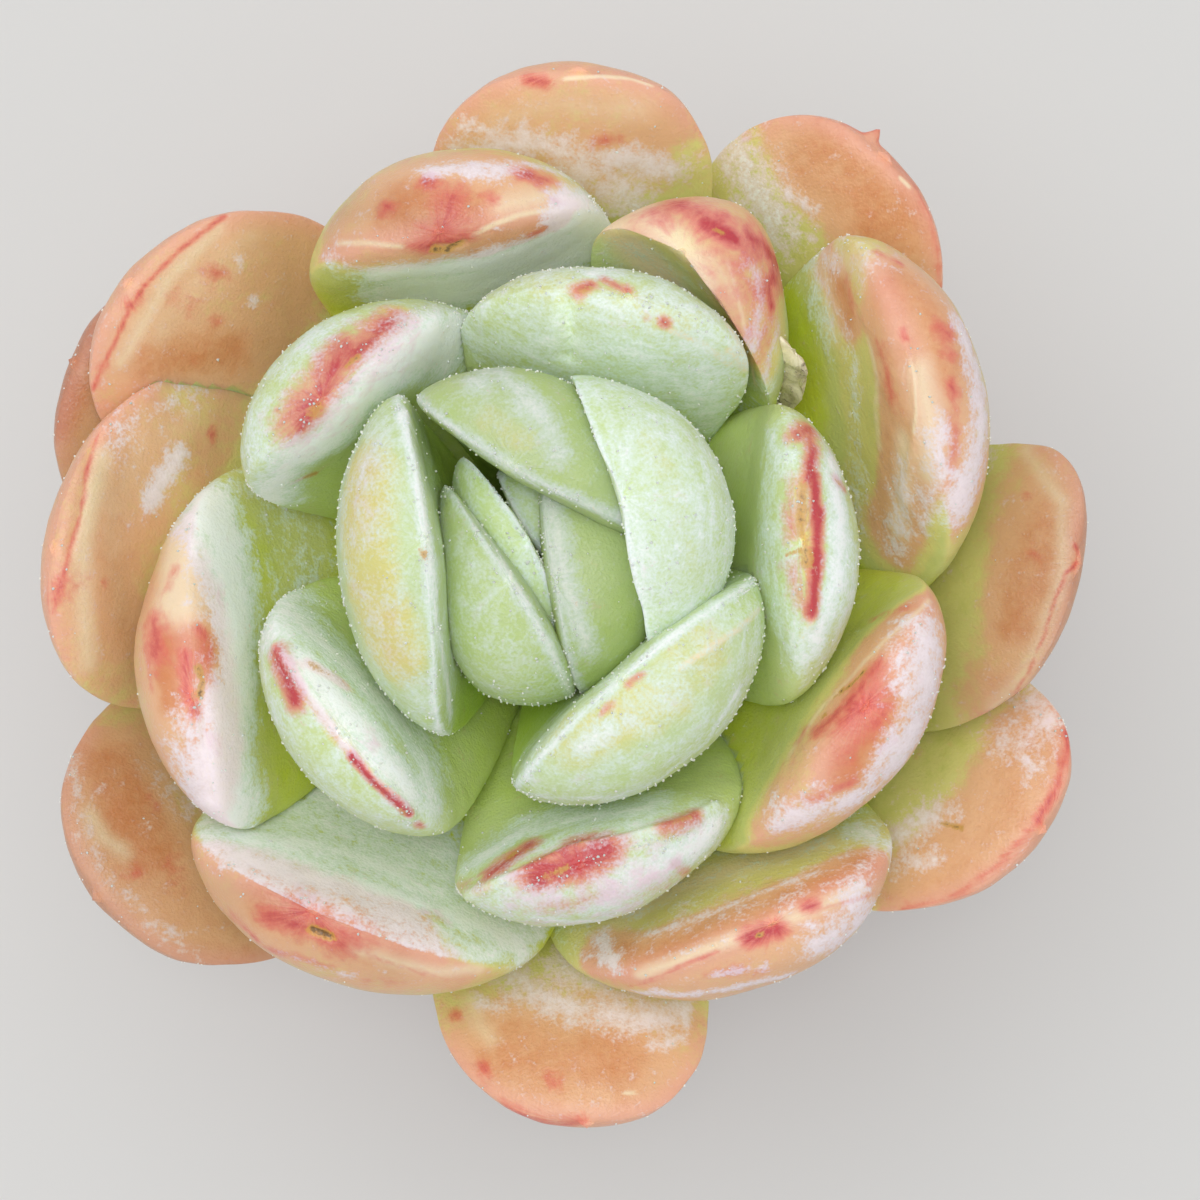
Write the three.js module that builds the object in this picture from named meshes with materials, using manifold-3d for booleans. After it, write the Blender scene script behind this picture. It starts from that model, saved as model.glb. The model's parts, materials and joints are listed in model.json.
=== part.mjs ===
// Potted echeveria: a rosette of 29 fleshy leaves on a short stem, in a plain clay pot of gritty soil.
// Units are millimetres and +Z is up. The origin is at the centre of the pot's base.

import * as THREE from "three";
import { mergeVertices } from "three/addons/utils/BufferGeometryUtils.js";
import Module from "manifold-3d";

const wasm = await Module();
wasm.setup();

// Driving dimensions
const GAP = 0.3;

const POT_HEIGHT = 50;
const POT_RIM_RADIUS = 28;
const POT_RIM_BAND = 12;
const POT_RIM_STEP = 1.6;
const POT_BASE_RADIUS = 19.5;
const POT_WALL = 2.8;
const POT_FLOOR = 4;
const POT_EDGE = 0.8;
const DRAIN_RADIUS = 4;
const POT_SIDES = 48;

const SOIL_TOP = POT_HEIGHT - 5;
const SOIL_LUMP = 0.7;
const SOIL_CROWN = 1.2;
const SOIL_RINGS = 8;
const SOIL_SIDES = 30;

// The stem stands a little off the pot's axis, under the heart of the rosette
const STEM_X = -1.2;
const STEM_Y = 1.8;
const STEM_APEX = 67;
const STEM_SIDES = 20;

// Each leaf grows a little lower on the stem than the one before it, and starts inside the stem
const LEAF_STEP = 0.55;
const LEAF_ROOT = 1.5;
const LEAF_RINGS = 11;
const LEAF_SIDES = 10;
const WIDEST = 0.68;
const PLUMPEST = 0.76;
const ROOT_WIDTH = 0.34;
const ROOT_THICKNESS = 0.32;
const FRONT = 1.8;
const BACK = 4.2;
const POINT = 0.5;
const BEND = 0.4;
const TIP_BLUNTNESS = 2.3;
const THICKNESS_BLUNTNESS = 2.2;

// How square the two faces' cross-sections are: 1 is a parabola's dome, and less is fuller
const FRONT_DOME = 0.75;
const BACK_DOME = 0.62;

// Height above the stem's apex and radius of the stem, from its foot in the soil to its top
const STEM_PROFILE = [
  [-47, 2.6],
  [-30, 3.6],
  [-22, 4.6],
  [-17, 6.0],
  [-11, 6.0],
  [-5, 4.4],
  [-1, 2.8],
  [1, 1.2],
];

// The middle leaves are plump in front as well, with rounded margins
const ROUNDED = { front: 2.4, dome: 0.55 };
// Those round the heart have a narrow lip inside the margin
const LIPPED = { front: 1.7, dome: 0.5 };

// One row for each leaf, from the heart outward. turn is the compass angle of its middle line, rise the
// slope of that line at its root and at its tip, reach how far its tip is from the stem's middle, height
// how far its tip is above the stem's apex, sweep how far its tip bends aside, front and back how far its
// two faces bulge, dome how square the front is. lean makes one side thicker than the other, and cup curls
// both margins inward. Angles are in degrees.
const LEAVES = [
  { turn: 35, rise: [80, 105], reach: 0.6, height: 11.5, sweep: 2.4, width: 12, front: 0.8, back: 3.6 },
  { turn: 209, rise: [80, 112], reach: 0, height: 13.8, sweep: -2.4, width: 16, front: 0.6, back: 2.6 },
  {
    turn: 9, rise: [80, 95], reach: 0.5, height: 14.5, sweep: -0.6, width: 16,
    front: 1, back: 6.4, dome: 0.5,
  },
  {
    turn: 60, rise: [70, 108], reach: 4.8, height: 17, sweep: 5.2, width: 20,
    front: 1.4, back: 5.8, dome: 0.5,
  },
  {
    turn: 211, rise: [80, 95], reach: 2.3, height: 16, sweep: -0.6, width: 16,
    front: 1.2, back: 5, dome: 0.5, lean: 0.5,
  },
  { turn: 16, rise: [68, 100], reach: 6, height: 19, sweep: 3.2, width: 20, front: 0.8, back: 6.3, cup: 1.4 },
  { turn: 187, rise: [68, 105], reach: 7.4, height: 18.5, sweep: -2.9, width: 22, back: 5.2, ...LIPPED },
  { turn: 311, rise: [62, 108], reach: 8.3, height: 17.5, sweep: -0.8, width: 21, back: 6.3, ...LIPPED },
  { turn: 79, rise: [35, 62], reach: 18.4, height: 14.6, sweep: -1.8, width: 19.5, front: 2.4, back: 4.4 },
  { turn: 217, rise: [40, 92], reach: 16.6, height: 14, sweep: 0.5, width: 19, back: 4.8, ...ROUNDED },
  { turn: 3, rise: [40, 92], reach: 16.4, height: 14, sweep: 1, width: 20, back: 4.8, ...ROUNDED },
  { turn: 131, rise: [32, 90], reach: 17.8, height: 14.5, sweep: 3.6, width: 18.5, back: 5.2, ...ROUNDED },
  { turn: 287, rise: [32, 92], reach: 18.8, height: 12.5, sweep: -3.4, width: 20, back: 5, ...ROUNDED },
  {
    turn: 50, rise: [30, 88], reach: 21.6, height: 12, sweep: 6.6, width: 15.5,
    front: 0.4, back: 6.6, cup: 1.8,
  },
  { turn: 187, rise: [20, 84], reach: 23.8, height: 11, sweep: 5.2, width: 23.5, back: 5.6, ...ROUNDED },
  { turn: 326, rise: [25, 90], reach: 22, height: 12, sweep: 4.4, width: 22.5, back: 5.7, ...ROUNDED },
  { turn: 102, rise: [20, 100], reach: 23, height: 12, sweep: 2.2, width: 20.5, back: 6.2, ...ROUNDED },
  { turn: 246, rise: [15, 88], reach: 26.6, height: 9, sweep: -5, width: 24.5, back: 5.8, ...ROUNDED },
  { turn: 19, rise: [15, 90], reach: 27, height: 11, sweep: 5.8, width: 23.5, back: 6, ...ROUNDED },
  { turn: 171, rise: [5, 50], reach: 32.6, height: 7, sweep: 3.4, width: 23.5 },
  { turn: 294, rise: [12, 88], reach: 27.2, height: 8, sweep: 4.2, width: 23.5, back: 5.6, ...ROUNDED },
  { turn: 88, rise: [0, 48], reach: 33.4, height: 6, sweep: -0.9, width: 19.5, blunt: 2.6 },
  { turn: 217, rise: [-5, 40], reach: 37.4, height: 2, sweep: -0.9, width: 21.5 },
  { turn: 350, rise: [-3, 42], reach: 34.8, height: 4, sweep: 6.8, width: 20, blunt: 3 },
  { turn: 142, rise: [-3, 45], reach: 34, height: 5, sweep: 2, width: 21 },
  { turn: 270, rise: [-8, 38], reach: 37.2, height: 1, sweep: 2.6, width: 19.5, blunt: 2.5 },
  { turn: 47, rise: [-5, 40], reach: 36, height: 2, sweep: 2.5, width: 19.5, blunt: 2.6 },
  { turn: 325, rise: [-8, 40], reach: 37.4, height: 1, sweep: 5, width: 20.5 },
  { turn: 156, rise: [-8, 38], reach: 35.2, height: 1, sweep: 0, width: 22 },
];

// The youngest leaves are still one closed bud, and a dry leaf is caught between two plump ones
const HEART_BUD = { turn: 300, rise: [85, 100], reach: 0.5, height: 9, sweep: 0, width: 4.6, back: 1.4 };
const DRY_LEAF = {
  turn: 42, rise: [10, 75], reach: 22, height: 7, sweep: 0, width: 6, front: 0.5, back: 0.6,
};
const DRY_LEAF_AGE = 20;

const INNER_LEAVES = 8;
const CLAY = material(0xb0623f, 0.9);
const SOIL = material(0x4a3a2c, 1.0);
const BARK = material(0x8a7a5a, 0.85);
const GREEN_LEAF = material(0xb7cf7e, 0.5);
const PEACH_LEAF = material(0xe0a27a, 0.5);
const DRY = material(0x9b8c78, 0.95);

function material(color, roughness) {
  return new THREE.MeshStandardMaterial({ color, roughness, metalness: 0 });
}

function toSolid(geometry) {
  const bare = geometry.clone();
  bare.deleteAttribute("normal");
  bare.deleteAttribute("uv");
  const merged = mergeVertices(bare, 1e-4);
  const vertProperties = new Float32Array(merged.attributes.position.array);
  const triVerts = new Uint32Array(merged.index.array);
  return new wasm.Manifold(new wasm.Mesh({ numProp: 3, vertProperties, triVerts }));
}

function toGeometry(solid) {
  const mesh = solid.getMesh();
  const geometry = new THREE.BufferGeometry();
  geometry.setAttribute("position", new THREE.BufferAttribute(mesh.vertProperties, 3));
  geometry.setIndex(new THREE.BufferAttribute(mesh.triVerts, 1));
  geometry.computeVertexNormals();
  return geometry;
}

function largestBody(solid) {
  const bodies = solid.decompose();
  return bodies.reduce((best, body) => (body.volume() > best.volume() ? body : best));
}

function stemRadius(aboveApex) {
  const last = STEM_PROFILE.length - 1;
  const next = STEM_PROFILE.findIndex(([height]) => height > aboveApex);
  if (next === 0) return STEM_PROFILE[0][1];
  if (next < 0) return STEM_PROFILE[last][1];
  const [lowHeight, lowRadius] = STEM_PROFILE[next - 1];
  const [highHeight, highRadius] = STEM_PROFILE[next];
  return THREE.MathUtils.mapLinear(aboveApex, lowHeight, highHeight, lowRadius, highRadius);
}

// A share that rises from low at the leaf's root to 1 at peak, and closes round at the tip
function swell(along, peak, low, blunt) {
  if (along < peak) return low + (1 - low) * Math.sin((Math.PI / 2) * (along / peak));
  const past = (along - peak) / (1 - peak);
  return Math.pow(Math.max(1 - Math.pow(past, blunt), 0), 1 / blunt);
}

// The leaf's middle line, as distance from the stem's middle and height
function middleLine(leaf, age) {
  const rootHeight = -LEAF_STEP * age;
  const root = new THREE.Vector2(stemRadius(rootHeight) - LEAF_ROOT, STEM_APEX + rootHeight);
  const tip = new THREE.Vector2(leaf.reach, STEM_APEX + leaf.height);
  const pull = BEND * root.distanceTo(tip);
  const [first, last] = leaf.rise.map(THREE.MathUtils.degToRad);
  const out = new THREE.Vector2(Math.cos(first), Math.sin(first)).multiplyScalar(pull);
  const back = new THREE.Vector2(Math.cos(last), Math.sin(last)).multiplyScalar(-pull);
  return new THREE.CubicBezierCurve(root, root.clone().add(out), tip.clone().add(back), tip);
}

// A closed leaf: rings of points round its middle line, flat-domed in front and full at the back, with
// sharp margins where the two faces meet. grow makes it larger all round.
function leafGeometry(leaf, age, grow = 0) {
  const line = middleLine(leaf, age);
  const turn = THREE.MathUtils.degToRad(leaf.turn);
  const outward = new THREE.Vector3(Math.cos(turn), Math.sin(turn), 0);
  const aside = new THREE.Vector3(-Math.sin(turn), Math.cos(turn), 0);
  const up = new THREE.Vector3(0, 0, 1);
  const front = leaf.front ?? FRONT;
  const back = leaf.back ?? BACK;
  const dome = leaf.dome ?? FRONT_DOME;
  const points = [];

  for (let ring = 0; ring <= LEAF_RINGS; ring += 1) {
    const along = Math.sin((Math.PI / 2) * (ring / LEAF_RINGS));
    const onLine = line.getPoint(along);
    const heading = line.getTangent(along);
    const normal = outward.clone().multiplyScalar(-heading.y).addScaledVector(up, heading.x);
    const middle = new THREE.Vector3(STEM_X, STEM_Y, onLine.y);
    middle.addScaledVector(outward, onLine.x);
    middle.addScaledVector(aside, leaf.sweep * along * along);
    if (ring === LEAF_RINGS) {
      middle.addScaledVector(outward, (POINT + grow) * heading.x);
      middle.addScaledVector(up, (POINT + grow) * heading.y);
      points.push(middle);
      continue;
    }
    if (ring === 0) points.push(middle.clone());
    const halfWidth = (leaf.width / 2) * swell(along, WIDEST, ROOT_WIDTH, leaf.blunt ?? TIP_BLUNTNESS) + grow;
    const plump = swell(along, PLUMPEST, ROOT_THICKNESS, THICKNESS_BLUNTNESS);
    for (let side = 0; side < LEAF_SIDES; side += 1) {
      const angle = (2 * Math.PI * side) / LEAF_SIDES;
      const across = Math.cos(angle);
      const lift = Math.sin(angle);
      const thick = plump * (1 + (leaf.lean ?? 0) * across);
      const face = lift >= 0
        ? (front * thick + grow) * Math.pow(lift * lift, dome)
        : -(back * thick + grow) * Math.pow(lift * lift, BACK_DOME);
      const bulge = face + (leaf.cup ?? 0) * plump * across * across;
      points.push(middle.clone().addScaledVector(aside, across * halfWidth).addScaledVector(normal, bulge));
    }
  }

  const tipPoint = points.length - 1;
  const at = (ring, side) => 1 + ring * LEAF_SIDES + (side % LEAF_SIDES);
  const triangles = [];
  for (let side = 0; side < LEAF_SIDES; side += 1) {
    triangles.push(0, at(0, side + 1), at(0, side));
    triangles.push(at(LEAF_RINGS - 1, side), at(LEAF_RINGS - 1, side + 1), tipPoint);
    for (let ring = 0; ring < LEAF_RINGS - 1; ring += 1) {
      triangles.push(at(ring, side), at(ring, side + 1), at(ring + 1, side + 1));
      triangles.push(at(ring, side), at(ring + 1, side + 1), at(ring + 1, side));
    }
  }
  const geometry = new THREE.BufferGeometry().setFromPoints(points);
  geometry.setIndex(triangles);
  return geometry;
}

function stemGeometry(grow = 0) {
  const profile = STEM_PROFILE.map(([height, radius]) => new THREE.Vector2(radius + grow, height));
  const [footHeight] = STEM_PROFILE[0];
  const [topHeight] = STEM_PROFILE[STEM_PROFILE.length - 1];
  profile.unshift(new THREE.Vector2(0, footHeight - grow));
  profile[1].y -= grow;
  profile[profile.length - 1].y += grow;
  profile.push(new THREE.Vector2(0, topHeight + grow));
  const geometry = new THREE.LatheGeometry(profile, STEM_SIDES);
  geometry.rotateX(Math.PI / 2);
  geometry.translate(STEM_X, STEM_Y, STEM_APEX);
  return geometry;
}

function potInnerRadius(height) {
  const slope = (POT_RIM_RADIUS - POT_RIM_STEP - POT_BASE_RADIUS) / POT_HEIGHT;
  return POT_BASE_RADIUS + slope * height - POT_WALL;
}

function potGeometry() {
  const bandFoot = POT_HEIGHT - POT_RIM_BAND;
  const bandRadius = potInnerRadius(bandFoot) + POT_WALL;
  const profile = [
    [DRAIN_RADIUS, 0],
    [POT_BASE_RADIUS - POT_EDGE, 0],
    [POT_BASE_RADIUS, POT_EDGE],
    [bandRadius, bandFoot],
    [bandRadius + POT_RIM_STEP, bandFoot + POT_EDGE],
    [POT_RIM_RADIUS, POT_HEIGHT - POT_EDGE],
    [POT_RIM_RADIUS - POT_EDGE, POT_HEIGHT],
    [potInnerRadius(POT_HEIGHT) + POT_EDGE, POT_HEIGHT],
    [potInnerRadius(POT_HEIGHT - POT_EDGE), POT_HEIGHT - POT_EDGE],
    [potInnerRadius(POT_FLOOR + POT_EDGE), POT_FLOOR + POT_EDGE],
    [potInnerRadius(POT_FLOOR) - POT_EDGE, POT_FLOOR],
    [DRAIN_RADIUS, POT_FLOOR],
    [DRAIN_RADIUS, 0],
  ];
  const geometry = new THREE.LatheGeometry(profile.map(([r, z]) => new THREE.Vector2(r, z)), POT_SIDES);
  geometry.rotateX(Math.PI / 2);
  return geometry;
}

// The soil's surface: a low crown round the stem, with lumps made by crossing waves that die out at the wall
function soilHeight(x, y, share) {
  const lumps = Math.sin(0.55 * x + 1.2) * Math.cos(0.62 * y) + 0.6 * Math.sin(0.9 * y - 0.7 * x);
  return SOIL_TOP + SOIL_LUMP * lumps * (1 - share * share) + SOIL_CROWN * (1 - share);
}

function soilGeometry() {
  const foot = POT_FLOOR + GAP;
  const footRadius = potInnerRadius(foot) - POT_EDGE - GAP;
  const topRadius = potInnerRadius(SOIL_TOP) - GAP;
  const points = [new THREE.Vector3(0, 0, foot)];
  const ringOf = (radius, heightAt) => {
    for (let side = 0; side < SOIL_SIDES; side += 1) {
      const angle = (2 * Math.PI * side) / SOIL_SIDES;
      const x = radius * Math.cos(angle);
      const y = radius * Math.sin(angle);
      points.push(new THREE.Vector3(x, y, heightAt(x, y)));
    }
  };
  ringOf(footRadius, () => foot);
  ringOf(potInnerRadius(foot + POT_EDGE) - GAP, () => foot + POT_EDGE);
  for (let ring = 0; ring < SOIL_RINGS; ring += 1) {
    const share = 1 - ring / SOIL_RINGS;
    ringOf(topRadius * share, (x, y) => soilHeight(x, y, share));
  }
  points.push(new THREE.Vector3(0, 0, soilHeight(0, 0, 0)));

  const rings = SOIL_RINGS + 2;
  const at = (ring, side) => 1 + ring * SOIL_SIDES + (side % SOIL_SIDES);
  const triangles = [];
  for (let side = 0; side < SOIL_SIDES; side += 1) {
    triangles.push(0, at(0, side + 1), at(0, side));
    triangles.push(at(rings - 1, side), at(rings - 1, side + 1), points.length - 1);
    for (let ring = 0; ring < rings - 1; ring += 1) {
      triangles.push(at(ring, side), at(ring, side + 1), at(ring + 1, side + 1));
      triangles.push(at(ring, side), at(ring + 1, side + 1), at(ring + 1, side));
    }
  }
  const geometry = new THREE.BufferGeometry().setFromPoints(points);
  geometry.setIndex(triangles);
  return geometry;
}

const plant = new THREE.Group();

function addPiece(name, geometry, look) {
  const mesh = new THREE.Mesh(geometry, look);
  mesh.name = name;
  plant.add(mesh);
}

addPiece("pot", potGeometry(), CLAY);
addPiece("stem", stemGeometry(), BARK);

// What a later piece has to stay out of: the stem and the leaves inside it, grown by the gap
let taken = toSolid(stemGeometry(GAP));
addPiece("soil", toGeometry(toSolid(soilGeometry()).subtract(taken)), SOIL);

function addLeaf(name, leaf, age, look) {
  addPiece(name, toGeometry(largestBody(toSolid(leafGeometry(leaf, age)).subtract(taken))), look);
  taken = taken.add(toSolid(leafGeometry(leaf, age, GAP)));
}

addLeaf("heart_bud", HEART_BUD, 0, GREEN_LEAF);

LEAVES.forEach((leaf, index) => {
  const age = index + 1;
  const name = `leaf_${String(age).padStart(2, "0")}`;
  const look = age > INNER_LEAVES ? PEACH_LEAF : GREEN_LEAF;
  addLeaf(name, leaf, age, look);
});
addLeaf("dried_leaf", DRY_LEAF, DRY_LEAF_AGE, DRY);

export default plant;
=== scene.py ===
"""A potted echeveria seen from straight above: a rosette of plump leaves on a short stem, in a clay pot."""

import json
import math

import bmesh
import bpy
import numpy as np
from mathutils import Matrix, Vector, noise
from mathutils.bvhtree import BVHTree

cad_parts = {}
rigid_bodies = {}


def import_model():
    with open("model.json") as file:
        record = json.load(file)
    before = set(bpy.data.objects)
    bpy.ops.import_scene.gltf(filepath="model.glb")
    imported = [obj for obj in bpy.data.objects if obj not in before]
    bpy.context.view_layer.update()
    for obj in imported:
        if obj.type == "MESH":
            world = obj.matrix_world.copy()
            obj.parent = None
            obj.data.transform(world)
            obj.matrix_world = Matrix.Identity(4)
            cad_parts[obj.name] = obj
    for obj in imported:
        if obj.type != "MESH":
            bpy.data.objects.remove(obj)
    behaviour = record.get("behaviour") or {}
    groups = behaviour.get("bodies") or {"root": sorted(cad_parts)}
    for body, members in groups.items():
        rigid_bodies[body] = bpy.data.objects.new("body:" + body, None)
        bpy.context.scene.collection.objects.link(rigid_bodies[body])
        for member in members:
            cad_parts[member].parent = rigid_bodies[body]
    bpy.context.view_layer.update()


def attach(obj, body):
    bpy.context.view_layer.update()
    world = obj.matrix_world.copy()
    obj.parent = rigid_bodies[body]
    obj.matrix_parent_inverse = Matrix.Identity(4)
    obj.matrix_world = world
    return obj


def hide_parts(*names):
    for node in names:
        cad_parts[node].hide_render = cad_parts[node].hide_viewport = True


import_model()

MM = 0.001
SEED = 7

# The photograph's frame and the camera that matches it, in pixels and millimetres
PHOTO_SIDE = 1200
PIXELS_PER_MM = 14.8
FOCUS_HEIGHT = 69
CAMERA_RISE = 260
CAMERA_X = 2.3
CAMERA_Y = 0.0
CAMERA_NEAREST = 0.01
PIXEL_FOCAL_LENGTH = PIXELS_PER_MM * CAMERA_RISE
STROKE_STEP = 10

# The studio: each lamp's name, place, size in millimetres and power in watts, and the floor
LAMPS = [("overhead", (-70, 110, 640), 460, 1.35), ("beside_camera", (0, 20, 600), 90, 0.3)]
LAMP_TARGET = (0, 0, 60)
SKY_COLOUR = (0.94, 0.97, 1.0, 1.0)
SKY_STRENGTH = 0.68
FLOOR_COLOUR = (0.72, 0.71, 0.69, 1.0)
FLOOR_ROUGHNESS = 0.8
FLOOR_REACH = 1500

# The pot and its soil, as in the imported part
POT_HEIGHT = 50
POT_RIM_RADIUS = 28
POT_RIM_BAND = 12
POT_RIM_STEP = 1.6
POT_BASE_RADIUS = 19.5
POT_WALL = 2.8
POT_FLOOR = 4
POT_EDGE = 0.8
DRAIN_RADIUS = 4
POT_SIDES = 160
POT_LONGEST_RUN = 1.6
POT_TURNING = 0.04
POT_TURNS = 2.9
POT_SWELL = (9.0, 0.07)
SOIL_TOP = POT_HEIGHT - 5
SOIL_LUMP = 0.7
SOIL_CROWN = 1.2
SOIL_RINGS = 60
SOIL_SIDES = 150
SOIL_CRUMBS = [(1.4, 0.35, 2), (0.5, 0.15, 4)]
SOIL_EDGE_CRUMBS = 0.3
GAP = 0.3
GRIT = [("grit_pale", 420, 0.95), ("grit_tan", 420, 0.8), ("grit_dark", 380, 0.7)]
GRIT_SIZES = (0.45, 1.0)
GRIT_NEAREST = 0.045
GRIT_INSET = 1.2
GRIT_LIFT = 0.25
WAX_GRAINS = 4200
WAX_GRAIN_RADIUS = 0.075
WAX_SIZES = (0.5, 1.4)
WAX_LIFT = 0.4
WAX_ON_SKIN = 0.12
WAX_ON_MARGIN = 1.5
WAX_ON_RIM = 1.6
WAX_LEAST = 0.03
WAX_RIM_SLOPE = 0.25
WAX_LOWEST_SLOPE = -0.1

# The stem and the way its leaves are built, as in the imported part
STEM_X = -1.2
STEM_Y = 1.8
STEM_APEX = 67
STEM_PROFILE = [(-47, 2.6), (-30, 3.6), (-22, 4.6), (-17, 6.0), (-11, 6.0), (-5, 4.4), (-1, 2.8), (1, 1.2)]
STEM_RINGS = 120
STEM_SIDES = 72
STEM_SCARS = 0.14
STEM_SCAR_TURNS = 2.6
STEM_SWELL = (1.3, 0.2)
LEAF_STEP = 0.55
LEAF_ROOT = 1.5
WIDEST = 0.68
PLUMPEST = 0.76
ROOT_WIDTH = 0.34
ROOT_THICKNESS = 0.32
FRONT = 1.8
BACK = 4.2
POINT = 0.5
BEND = 0.4
TIP_BLUNTNESS = 2.3
THICKNESS_BLUNTNESS = 2.2
FRONT_DOME = 0.75
BACK_DOME = 0.62

LEAF_RINGS = 100
LEAF_SIDES = 92
CUTTER_DEPTH = 0.05
CREASE_ANGLE = 50
SWELLS = [(5.0, 0.22), (1.6, 0.06)]
DRY_RINGS = 60
DRY_HALF_SIDES = 30
DRY_CRUMPLES = [(2.4, 0.45, 3), (0.9, 0.2, 9)]
DRY_GRAIN = (6, 3, 1)

# The last leaf of each of three groups: the heart, the pale leaves and the middle ones. Each trait has one
# value for each group and one for the outer leaves, used where a leaf's own row has none.
GROUP_ENDS = (8, 13, 21)
HEART_END, PALE_END, MIDDLE_END = GROUP_ENDS
TRAITS = dict(
    front_share=(0.42, 0.5, 0.5, 0.6),
    green=(-0.12, 0.0, 0.0, 0.0),
    lime=(0.4, 0.4, 0.75, 0.75),
    dust=(0.42, 0.6, 0.1, 0.1),
    powdered=(8.0, 2.5, 2.5, 2.5),
    frost=(0.9, 0.0, 0.0, 0.0),
    old=(0.0, 0.2, 0.7, 1.0),
    wax=(2.2, 2.2, 1.0, 1.0),
)

# How the paints change over a leaf, by its share of length, by how far its face looks up, and by
# millimetres below its highest place
RIPENS_BEFORE = 0.05
RIPENS_AFTER = 0.2
FACING = (0.0, 0.3)
GREEN_BELOW = (2.0, 6.0)
GREEN_HOLD = 0.9
DEEP = 15
DEEP_CURVE = 1.3
CLEAN_FADE = 5
BACK_CLEAN = 0.5
BARE = 0.4
MARGIN_REACH = 2.0
UNDER_DUST = 0.42
UNDER_FACING = (0.1, 0.5)
UNDER_BELOW = (9.0, 14.0)
SPREAD = {"bloom": 1.6, "red": 1.35, "ripe": 1.3}
GRAIN_LENGTH = 36
GRAIN_DEPTH = 3
GRAIN_APART = 20
GRAIN_STRETCH = 0.45

# The light that the skin lets through, by colour and to a depth in millimetres, and the skin's relief
GLOW_SHARE = 0.65
GLOW_DEPTH = 2.0
GLOW_COLOURS = (1.0, 0.85, 0.35)
SKIN_RELIEF = 0.09

ROUNDED = dict(front=2.4, dome=0.55)
LIPPED = dict(front=1.7, dome=0.5)

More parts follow.
